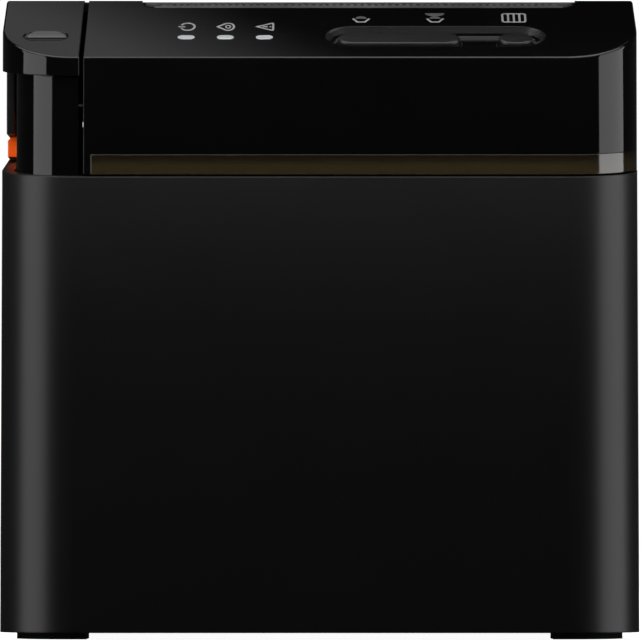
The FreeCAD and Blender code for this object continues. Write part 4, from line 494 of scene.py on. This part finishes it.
baseBlack = {"dark": (0.0054, 0.0054, 0.0056), "light": (0.0061, 0.0061, 0.0063),
             "worn": (0.03, 0.03, 0.03), "rough": 0.35, "roughSpread": 0.04, "grain": 2600.0,
             "relief": 0.08, "edge": 0.5, "wear": 0.2, "smudge": 0.15, "dust": 0.02}
# gloss case; in the key trough the walls take a lighter satin colour and the floor a darker colour as
# painted shade
caseGloss = {"dark": (0.0004, 0.0004, 0.0004), "light": (0.0006, 0.0006, 0.0006),
             "worn": (0.02, 0.02, 0.02), "rough": 0.045, "roughSpread": 0.04, "grain": 1800.0,
             "relief": 0.003, "edge": 0.35, "wear": 0.05, "smudge": 0.4, "dust": 0.01,
             "ior": 1.53, "well": {"from": 0.0006, "to": 0.0448, "behind": -0.0597, "rough": 0.24,
                                   "colour": (0.011, 0.011, 0.011), "deep": -0.0010,
                                   "floor": (0.0006, 0.0006, 0.0006)}}
# satin keys; the skirt colour darkens their sides below the panel face as painted shade
keySatin = {"dark": (0.006, 0.006, 0.006), "light": (0.008, 0.008, 0.008),
            "worn": (0.03, 0.03, 0.03), "rough": 0.20, "roughSpread": 0.10, "grain": 3000.0,
            "relief": 0.05, "edge": 0.3, "wear": 0.15, "smudge": 0.3, "dust": 0.01,
            "shadedSkirt": {"deep": -0.0005, "floor": (0.0006, 0.0006, 0.0006), "rough": 0.5}}
lidBlack = {"dark": (0.0045, 0.0045, 0.0047), "light": (0.006, 0.006, 0.0062),
            "worn": (0.05, 0.05, 0.05), "rough": 0.42, "roughSpread": 0.10, "grain": 2200.0,
            "relief": 0.22, "edge": 0.5, "wear": 0.25, "smudge": 0.4, "dust": 0.06}
innerBlack = {"dark": (0.022, 0.022, 0.023), "light": (0.032, 0.032, 0.033),
              "worn": (0.07, 0.07, 0.07), "rough": 0.50, "roughSpread": 0.10, "grain": 1900.0,
              "relief": 0.30, "edge": 0.3, "wear": 0.2, "smudge": 0.3, "dust": 0.10}
leverOrange = {"dark": (0.96, 0.110, 0.002), "light": (0.99, 0.125, 0.003),
               "worn": (0.90, 0.22, 0.06), "rough": 0.36, "roughSpread": 0.10, "grain": 2600.0,
               "relief": 0.10, "edge": 0.35, "wear": 0.15, "smudge": 0.4, "dust": 0.0, "ior": 1.18}
lipGrey = {"dark": (0.085, 0.085, 0.085), "light": (0.105, 0.105, 0.105),
           "worn": (0.18, 0.18, 0.18), "rough": 0.48, "roughSpread": 0.10, "grain": 2600.0,
           "relief": 0.18, "edge": 0.2, "wear": 0.3, "smudge": 0.4, "dust": 0.03}
footRubber = {"dark": (0.0012, 0.0012, 0.0012), "light": (0.0018, 0.0018, 0.0018),
              "worn": (0.02, 0.02, 0.02), "rough": 0.80, "roughSpread": 0.10, "grain": 1400.0,
              "relief": 0.45, "edge": 0.4, "wear": 0.2, "smudge": 0.4, "dust": 0.02, "ior": 1.25}
platenRubber = {"dark": (0.014, 0.014, 0.015), "light": (0.022, 0.022, 0.023),
                "worn": (0.05, 0.05, 0.05), "rough": 0.62, "roughSpread": 0.15, "grain": 2400.0,
                "relief": 0.35, "edge": 0.2, "wear": 0.2, "smudge": 0.6, "dust": 0.05}
gearAcetal = {"dark": (0.026, 0.026, 0.028), "light": (0.034, 0.034, 0.036),
              "worn": (0.08, 0.08, 0.08), "rough": 0.36, "roughSpread": 0.12, "grain": 2000.0,
              "relief": 0.10, "edge": 0.12, "wear": 0.3, "smudge": 0.5, "dust": 0.03}
bushAcetal = {"dark": (0.055, 0.055, 0.057), "light": (0.065, 0.065, 0.067),
              "worn": (0.12, 0.12, 0.12), "rough": 0.34, "roughSpread": 0.12, "grain": 2200.0,
              "relief": 0.10, "edge": 0.12, "wear": 0.3, "smudge": 0.4, "dust": 0.02}
chipBlack = {"dark": (0.016, 0.016, 0.016), "light": (0.024, 0.024, 0.024),
             "worn": (0.06, 0.06, 0.06), "rough": 0.55, "roughSpread": 0.10, "grain": 3600.0,
             "relief": 0.25, "edge": 0.15, "wear": 0.3, "smudge": 0.3, "dust": 0.04}
portBlack = {"dark": (0.020, 0.020, 0.020), "light": (0.028, 0.028, 0.028),
             "worn": (0.07, 0.07, 0.07), "rough": 0.40, "roughSpread": 0.10, "grain": 2600.0,
             "relief": 0.15, "edge": 0.3, "wear": 0.3, "smudge": 0.4, "dust": 0.04}
plugWhite = {"dark": (0.70, 0.68, 0.62), "light": (0.79, 0.77, 0.71),
             "worn": (0.60, 0.58, 0.52), "rough": 0.42, "roughSpread": 0.10, "grain": 2400.0,
             "relief": 0.10, "edge": 0.15, "wear": 0.2, "smudge": 0.4, "dust": 0.03}
lensFrost = {"dark": (0.40, 0.43, 0.44), "light": (0.46, 0.49, 0.50),
             "worn": (0.55, 0.56, 0.57), "rough": 0.40, "roughSpread": 0.08, "grain": 4200.0,
             "relief": 0.12, "edge": 0.15, "wear": 0.2, "smudge": 0.2, "dust": 0.01}
printWhite = {"dark": (0.36, 0.36, 0.36), "light": (0.42, 0.42, 0.42),
              "worn": (0.30, 0.30, 0.30), "rough": 0.45, "roughSpread": 0.10, "grain": 5000.0,
              "relief": 0.10, "edge": 0.02, "wear": 0.2, "smudge": 0.2, "dust": 0.0}
printDim = {"dark": (0.07, 0.07, 0.07), "light": (0.09, 0.09, 0.09)}
brushedSteel = {"dark": (0.46, 0.47, 0.48), "light": (0.62, 0.63, 0.64), "dull": (0.40, 0.40, 0.40),
                "worn": (0.80, 0.80, 0.80), "rough": 0.24, "roughSpread": 0.14,
                "stretch": (45.0, 2600.0, 2600.0), "relief": 0.12, "edge": 0.15, "wear": 0.4}
barSteel = {"dark": (0.15, 0.15, 0.153), "light": (0.22, 0.22, 0.223), "dull": (0.22, 0.22, 0.22),
            "worn": (0.5, 0.5, 0.5), "rough": 0.28, "roughSpread": 0.14,
            "stretch": (45.0, 2600.0, 2600.0), "relief": 0.12, "edge": 0.08, "wear": 0.3}
# steel darkened as painted shade for the frame, shafts and pins inside the printer
shadedFrameSteel = {"dark": (0.07, 0.07, 0.072), "light": (0.11, 0.11, 0.112), "dull": (0.06, 0.06, 0.06),
              "worn": (0.25, 0.25, 0.25), "rough": 0.36, "roughSpread": 0.14,
              "stretch": (45.0, 2600.0, 2600.0), "relief": 0.12, "edge": 0.12, "wear": 0.3}
zincSteel = {"dark": (0.46, 0.48, 0.52), "light": (0.58, 0.60, 0.63), "dull": (0.38, 0.39, 0.42),
             "worn": (0.75, 0.76, 0.78), "rough": 0.30, "roughSpread": 0.14,
             "stretch": (900.0, 900.0, 900.0), "relief": 0.10, "edge": 0.12, "wear": 0.4}
aluminiumBlank = {"dark": (0.62, 0.63, 0.64), "light": (0.72, 0.73, 0.74), "dull": (0.55, 0.55, 0.55),
                  "worn": (0.85, 0.85, 0.85), "rough": 0.34, "roughSpread": 0.12,
                  "stretch": (60.0, 1800.0, 1800.0), "relief": 0.15, "edge": 0.15, "wear": 0.3}
tinPlate = {"dark": (0.55, 0.55, 0.56), "light": (0.68, 0.68, 0.69), "dull": (0.46, 0.46, 0.47),
            "worn": (0.80, 0.80, 0.80), "rough": 0.26, "roughSpread": 0.12,
            "stretch": (500.0, 120.0, 500.0), "relief": 0.08, "edge": 0.15, "wear": 0.3}
springWire = {"dark": (0.40, 0.40, 0.41), "light": (0.52, 0.52, 0.53), "dull": (0.34, 0.34, 0.35),
              "worn": (0.70, 0.70, 0.70), "rough": 0.24, "roughSpread": 0.10,
              "stretch": (1500.0, 1500.0, 1500.0), "relief": 0.08, "edge": 0.05, "wear": 0.2}


# smoked amber strip; its top colour is painted shade, darkening the strip towards its upper edge under
# the black case
amberBand = {"top": (0.0042, 0.0027, 0.0007), "body": (0.0150, 0.0106, 0.0040), "from": 0.00182,
             "to": 0.00327, "foot": 0.09002, "climb": 8.5, "rough": 0.08, "edge": 0.2,
             "worn": (0.08, 0.06, 0.03), "ior": 2.02}


def amberFinish(name, look):
    material, tree, shader = newFinish(name)
    split = splitPlace(tree)
    grain = useGroup(tree, mouldGrain, Grain_Scale=1500.0)
    wear = useGroup(tree, edgeWear, Radius=look["edge"] / 1000, Amount=0.1)
    marks = useGroup(tree, handlingMarks, Amount=0.5)
    climb = math.tan(math.radians(look["climb"]))
    height = mathNode(tree, "MULTIPLY_ADD", split.outputs["Y"], -climb, split.outputs["Z"])
    height = mathNode(tree, "SUBTRACT", height, look["foot"] - panelPlane["front"] / 1000 * climb)
    height = mathNode(tree, "MULTIPLY_ADD", grain.outputs["Mottle"], 0.0002, height)
    # painted shade: the colour runs from the body colour to the darker top colour towards the strip's
    # upper edge
    paintedShadeFall = spread(tree, height, look["from"], look["to"])
    colour = mixColour(tree, paintedShadeFall, look["body"], look["top"])
    colour = mixColour(tree, wear.outputs["Mask"], colour, look["worn"])
    tree.links.new(colour, shader.inputs["Base Color"])
    shader.inputs["IOR"].default_value = look["ior"]
    tree.links.new(mathNode(tree, "MULTIPLY_ADD", marks.outputs["Smudge"], 0.06, look["rough"]),
                   shader.inputs["Roughness"])
    tree.links.new(bumpOf(tree, grain.outputs["Height"], wear.outputs["Normal"], 0.01, 0.00002),
                   shader.inputs["Normal"])
    return material


# circuit board with traces under the solder mask
boardGreen = {"mask": (0.012, 0.10, 0.035), "trace": (0.03, 0.20, 0.08), "rough": 0.30,
              "cells": 260.0, "edge": 0.1}


def boardFinish(name, look):
    material, tree, shader = newFinish(name)
    cells = tree.nodes.new("ShaderNodeTexVoronoi")
    cells.feature = "DISTANCE_TO_EDGE"
    cells.inputs["Scale"].default_value = look["cells"]
    cells.inputs["Randomness"].default_value = 0.55
    tree.links.new(objectPlace(tree), cells.inputs["Vector"])
    grain = useGroup(tree, mouldGrain, Grain_Scale=2000.0)
    wear = useGroup(tree, edgeWear, Radius=look["edge"] / 1000, Amount=0.3)
    line = spread(tree, cells.outputs["Distance"], 0.03, 0.07, 1.0, 0.0)
    colour = mixColour(tree, line, look["mask"], look["trace"])
    colour = mixColour(tree, wear.outputs["Mask"], colour, (0.25, 0.22, 0.12))
    tree.links.new(colour, shader.inputs["Base Color"])
    tree.links.new(mathNode(tree, "MULTIPLY_ADD", grain.outputs["Mottle"], 0.10, look["rough"]),
                   shader.inputs["Roughness"])
    tree.links.new(bumpOf(tree, line, wear.outputs["Normal"], 0.3, 0.00003), shader.inputs["Normal"])
    return material


# flat flexible cable: conductors show as stripes through the film
flatCable = {"film": (0.70, 0.71, 0.72), "wire": (0.42, 0.43, 0.45), "pitch": 1.0, "rough": 0.32}


def cableFinish(name, look):
    material, tree, shader = newFinish(name)
    split = splitPlace(tree)
    turn = mathNode(tree, "MULTIPLY", split.outputs["X"], 2000 * math.pi / look["pitch"])
    stripe = spread(tree, mathNode(tree, "SINE", turn, 0.0), -0.2, 0.2)
    grain = useGroup(tree, mouldGrain, Grain_Scale=1600.0)
    wear = useGroup(tree, edgeWear, Radius=0.0001, Amount=0.2)
    colour = mixColour(tree, stripe, look["film"], look["wire"])
    colour = mixColour(tree, wear.outputs["Mask"], colour, (0.85, 0.85, 0.85))
    tree.links.new(colour, shader.inputs["Base Color"])
    tree.links.new(mathNode(tree, "MULTIPLY_ADD", grain.outputs["Mottle"], 0.1, look["rough"]),
                   shader.inputs["Roughness"])
    tree.links.new(bumpOf(tree, stripe, wear.outputs["Normal"], 0.3, 0.00004), shader.inputs["Normal"])
    return material


# glazed ceramic with the brown heating line where the paper is pressed
glazedStrip = {"glaze": (0.72, 0.71, 0.67), "line": (0.10, 0.045, 0.02), "middle": 0.10748,
               "half": 0.0006, "rough": 0.14}


def glazeFinish(name, look):
    material, tree, shader = newFinish(name)
    split = splitPlace(tree)
    away = mathNode(tree, "ABSOLUTE", mathNode(tree, "SUBTRACT", split.outputs["Z"], look["middle"]), 0.0)
    line = spread(tree, away, look["half"], look["half"] * 1.4, 1.0, 0.0)
    grain = useGroup(tree, mouldGrain, Grain_Scale=1200.0)
    wear = useGroup(tree, edgeWear, Radius=0.00015, Amount=0.2)
    colour = mixColour(tree, line, look["glaze"], look["line"])
    colour = mixColour(tree, wear.outputs["Mask"], colour, (0.5, 0.49, 0.46))
    tree.links.new(colour, shader.inputs["Base Color"])
    tree.links.new(mathNode(tree, "MULTIPLY_ADD", grain.outputs["Mottle"], 0.08, look["rough"]),
                   shader.inputs["Roughness"])
    tree.links.new(bumpOf(tree, grain.outputs["Height"], wear.outputs["Normal"], 0.03, 0.00002),
                   shader.inputs["Normal"])
    return material


finishes = {
    "base_black": mouldedFinish("baseBlack", baseBlack),
    "case_gloss": mouldedFinish("caseGloss", caseGloss),
    "lid_black": mouldedFinish("lidBlack", lidBlack),
    "inner_black": mouldedFinish("innerBlack", innerBlack),
    "amber": amberFinish("amberBand", amberBand),
    "orange": mouldedFinish("leverOrange", leverOrange),
    "lip_grey": mouldedFinish("lipGrey", lipGrey),
    "foot_rubber": mouldedFinish("footRubber", footRubber),
    "platen_rubber": mouldedFinish("platenRubber", platenRubber),
    "steel": metalFinish("brushedSteel", brushedSteel),
    "zinc_steel": metalFinish("zincSteel", zincSteel),
    "aluminium": metalFinish("aluminiumBlank", aluminiumBlank),
    "glaze": glazeFinish("glazedStrip", glazedStrip),
    "gear_acetal": mouldedFinish("gearAcetal", gearAcetal),
    "bush_acetal": mouldedFinish("bushAcetal", bushAcetal),
    "board_green": boardFinish("boardGreen", boardGreen),
    "chip_black": mouldedFinish("chipBlack", chipBlack),
    "port_black": mouldedFinish("portBlack", portBlack),
    "port_metal": metalFinish("tinPlate", tinPlate),
    "plug_white": mouldedFinish("plugWhite", plugWhite),
    "cable_white": cableFinish("flatCable", flatCable),
    "lens_frost": mouldedFinish("lensFrost", lensFrost),
    "spring_steel": metalFinish("springWire", springWire),
}
keyFinish = mouldedFinish("keySatin", keySatin)
printFinish = mouldedFinish("printWhite", printWhite)
printDimFinish = mouldedFinish("printDim", {**printWhite, **printDim})
barFinish = metalFinish("barSteel", barSteel)
shadedFrameFinish = metalFinish("shadedFrameSteel", shadedFrameSteel)
for row in frame["record"]["subparts"]:
    owner = nodes[row["node"]]
    owner.data.materials.clear()
    owner.data.materials.append(finishes[row["material_slot"]])
for name in ("feed_key", "mode_key"):
    nodes[name].data.materials[0] = keyFinish
# the frame, shafts and pins inside take the darkened steel as painted shade
for name in ("mechanism_frame", "idler_post", "platen_shaft", "motor_pinion", "head_pin",
             "latch_pin"):
    nodes[name].data.materials[0] = shadedFrameFinish
nodes["tear_bar"].data.materials[0] = barFinish
print("finishes set on", len(nodes), "pieces")


# printed marks on the sloped panel, thin solids laid on its face
markSet = {"line": 0.40, "sunk": -0.03, "proud": 0.03, "tall": 1.05}


def panelPoint(x, up, out):
    lean = math.radians(panelPlane["lean"])
    return Vector((x, panelPlane["front"] + up * math.cos(lean) - out * math.sin(lean),
                   panelPlane["edge"] + up * math.sin(lean) + out * math.cos(lean))) / 1000


def strokeSides(points, wide, closed):
    left, right = [], []
    count = len(points)
    for n in range(count):
        here = Vector(points[n])
        before = Vector(points[(n - 1) % count]) if closed or n else None
        after = Vector(points[(n + 1) % count]) if closed or n < count - 1 else None
        first = (here - before).normalized() if before else (after - here).normalized()
        second = (after - here).normalized() if after else first
        normal = Vector((-first.y, first.x)) + Vector((-second.y, second.x))
        normal.normalize()
        reach = wide / 2 / max(0.5, normal.dot(Vector((-first.y, first.x))))
        left.append(here + normal * reach)
        right.append(here - normal * reach)
    return left, right


class Mark:
    def __init__(self, name, x, up):
        self.name, self.x, self.up = name, x, up
        self.verts, self.faces = [], []

    def put(self, spot, out):
        self.verts.append(panelPoint(self.x + spot[0], self.up + spot[1] * markSet["tall"], out))
        return len(self.verts) - 1

    def stroke(self, points, closed=False, wide=None):
        left, right = strokeSides(points, wide or markSet["line"], closed)
        rows = []
        for a, b in zip(left, right):
            rows.append((self.put(a, markSet["sunk"]), self.put(b, markSet["sunk"]),
                         self.put(b, markSet["proud"]), self.put(a, markSet["proud"])))
        steps = len(rows) if closed else len(rows) - 1
        for n in range(steps):
            one, two = rows[n], rows[(n + 1) % len(rows)]
            for k in range(4):
                self.faces.append((one[k], two[k], two[(k + 1) % 4], one[(k + 1) % 4]))
        if not closed:
            self.faces.append(tuple(rows[0]))
            self.faces.append(tuple(reversed(rows[-1])))

    def fill(self, points):
        low = [self.put(p, markSet["sunk"]) for p in points]
        top = [self.put(p, markSet["proud"]) for p in points]
        self.faces.append(tuple(reversed(low)))
        self.faces.append(tuple(top))
        for n in range(len(points)):
            after = (n + 1) % len(points)
            self.faces.append((low[n], low[after], top[after], top[n]))

    def finish(self, material=printFinish):
        made = meshPiece(self.name, self.verts, self.faces, material)
        tidy = bmesh.new()
        tidy.from_mesh(made.data)
        bmesh.ops.recalc_face_normals(tidy, faces=tidy.faces)
        tidy.to_mesh(made.data)
        tidy.free()
        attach(made, "base")
        return made


def arc(middle, radiusX, radiusY, start, end, steps=24):
    made = []
    for n in range(steps + 1):
        turn = math.radians(start + (end - start) * n / steps)
        made.append((middle[0] + radiusX * math.cos(turn), middle[1] + radiusY * math.sin(turn)))
    return made


def lampMarks():
    power = Mark("lampMarkReady", -26.1, 16.44)
    power.stroke(arc((0.15, 0), 1.35, 1.85, 155, -155))
    power.stroke([(-1.7, 0), (-0.35, 0)])
    power.finish()
    drop = Mark("lampMarkPaper", -18.45, 16.44)
    outline = [(-1.65, 0)] + arc((0.45, 0), 1.15, 1.85, 130, -130, 22)
    drop.stroke(outline, closed=True)
    drop.stroke(arc((0.45, 0), 0.45, 0.75, 0, 345, 15), closed=True, wide=0.26)
    drop.finish()
    alert = Mark("lampMarkAlert", -10.7, 16.44)
    alert.stroke([(-1.65, 0), (1.35, 1.85), (1.55, 1.6), (1.55, -1.6), (1.35, -1.85)], closed=True)
    alert.stroke([(-0.5, 0), (0.5, 0)], wide=0.45)
    alert.stroke([(0.85, 0), (1.15, 0)], wide=0.45)
    alert.finish()


def keyMarks():
    for name, x, extra in (("keyMarkFeed", 8.15, False), ("keyMarkFeedTwice", 22.73, True)):
        cup = Mark(name, x, 18.87)
        cup.stroke([(-1.6, 1.9), (-0.75, 0.15), (0.75, 0.15), (1.6, 1.9)])
        cup.finish()
        bowl = Mark(name + "Bowl", x, 18.87)
        bowl.fill(arc((0, 1.9), 1.1, 1.2, 180, 0, 16))
        if extra:
            bowl.fill(arc((0, 4.7), 1.95, 1.5, 180, 360, 18))
        bowl.finish(printDimFinish)
    strip = Mark("keyMarkMode", 38.3, 18.8)
    strip.stroke(arc((1.8, 3.8), 0.45, 0.7, 0, 90, 5) + arc((-1.8, 3.8), 0.45, 0.7, 90, 180, 5)
                 + arc((-1.8, 0.9), 0.45, 0.7, 180, 270, 5) + arc((1.8, 0.9), 0.45, 0.7, 270, 360, 5),
                 closed=True)
    for x in (-1.12, 0, 1.12):
        strip.stroke([(x, 0.4), (x, 4.3)])
    strip.finish()


lampMarks()
keyMarks()
print("panel marks laid")

# wound springs in place of the plain tubes
releaseCoil = {"turns": 9.0, "wire": 0.62, "sides": 8, "steps": 20, "keep": 16 / 18}
headCoil = {"turns": 5.0, "wire": 0.52, "sides": 8, "steps": 20, "keep": 0.935}


def coilPath(start, along, length, radius, coil):
    side = along.orthogonal().normalized()
    other = along.cross(side)
    count = int(coil["turns"] * coil["steps"])
    ends = coil["wire"] / 2000
    points = []
    for n in range(count + 1):
        turn = 2 * math.pi * n / coil["steps"]
        flat = min(1.0, max(0.0, (n / coil["steps"] - 0.8) / (coil["turns"] - 1.6)))
        points.append(start + along * (ends + flat * (length - 2 * ends))
                      + (side * math.cos(turn) + other * math.sin(turn)) * radius)
    return points


def addTube(verts, faces, points, radius, sides):
    first = len(verts)
    normal = (points[1] - points[0]).orthogonal().normalized()
    for n, here in enumerate(points):
        ahead = (points[min(n + 1, len(points) - 1)] - points[max(n - 1, 0)]).normalized()
        normal = (normal - ahead * normal.dot(ahead)).normalized()
        other = ahead.cross(normal)
        for k in range(sides):
            turn = 2 * math.pi * k / sides
            verts.append(here + (normal * math.cos(turn) + other * math.sin(turn)) * radius)
    for n in range(len(points) - 1):
        low = first + n * sides
        for k in range(sides):
            after = (k + 1) % sides
            faces.append((low + k, low + after, low + sides + after, low + sides + k))
    faces.append(tuple(first + k for k in reversed(range(sides))))
    faces.append(tuple(len(verts) - sides + k for k in range(sides)))


def woundSpring(name, node, coil, along, middles):
    low, high = (Vector(corner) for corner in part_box(node))
    along = Vector(along)
    length = (high - low).dot(along)
    radius = (high.z - low.z if along.y else high.x - low.x) / 2 - coil["wire"] / 2000
    verts, faces = [], []
    for middle in middles(low, high):
        path = coilPath(middle, along, length, radius, coil)
        addTube(verts, faces, path, coil["wire"] / 2000, coil["sides"])
    made = meshPiece(name, verts, faces, finishes["spring_steel"])
    for face in made.data.polygons:
        face.use_smooth = len(face.vertices) == 4
    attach(made, "base")
    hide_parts(node)
    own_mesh(made)


def endMiddle(low, high):
    return [Vector(((low.x + high.x) / 2, (low.y + high.y) / 2, low.z))]


def pairMiddles(low, high):
    reach = (high.z - low.z) / 2
    return [Vector((x, low.y, (low.z + high.z) / 2)) for x in (low.x + reach, high.x - reach)]


woundSpring("releaseCoil", "release_spring", releaseCoil, (0, 0, 1), endMiddle)
woundSpring("headCoils", "head_springs", headCoil, (0, 1, 0), pairMiddles)
print("springs wound")
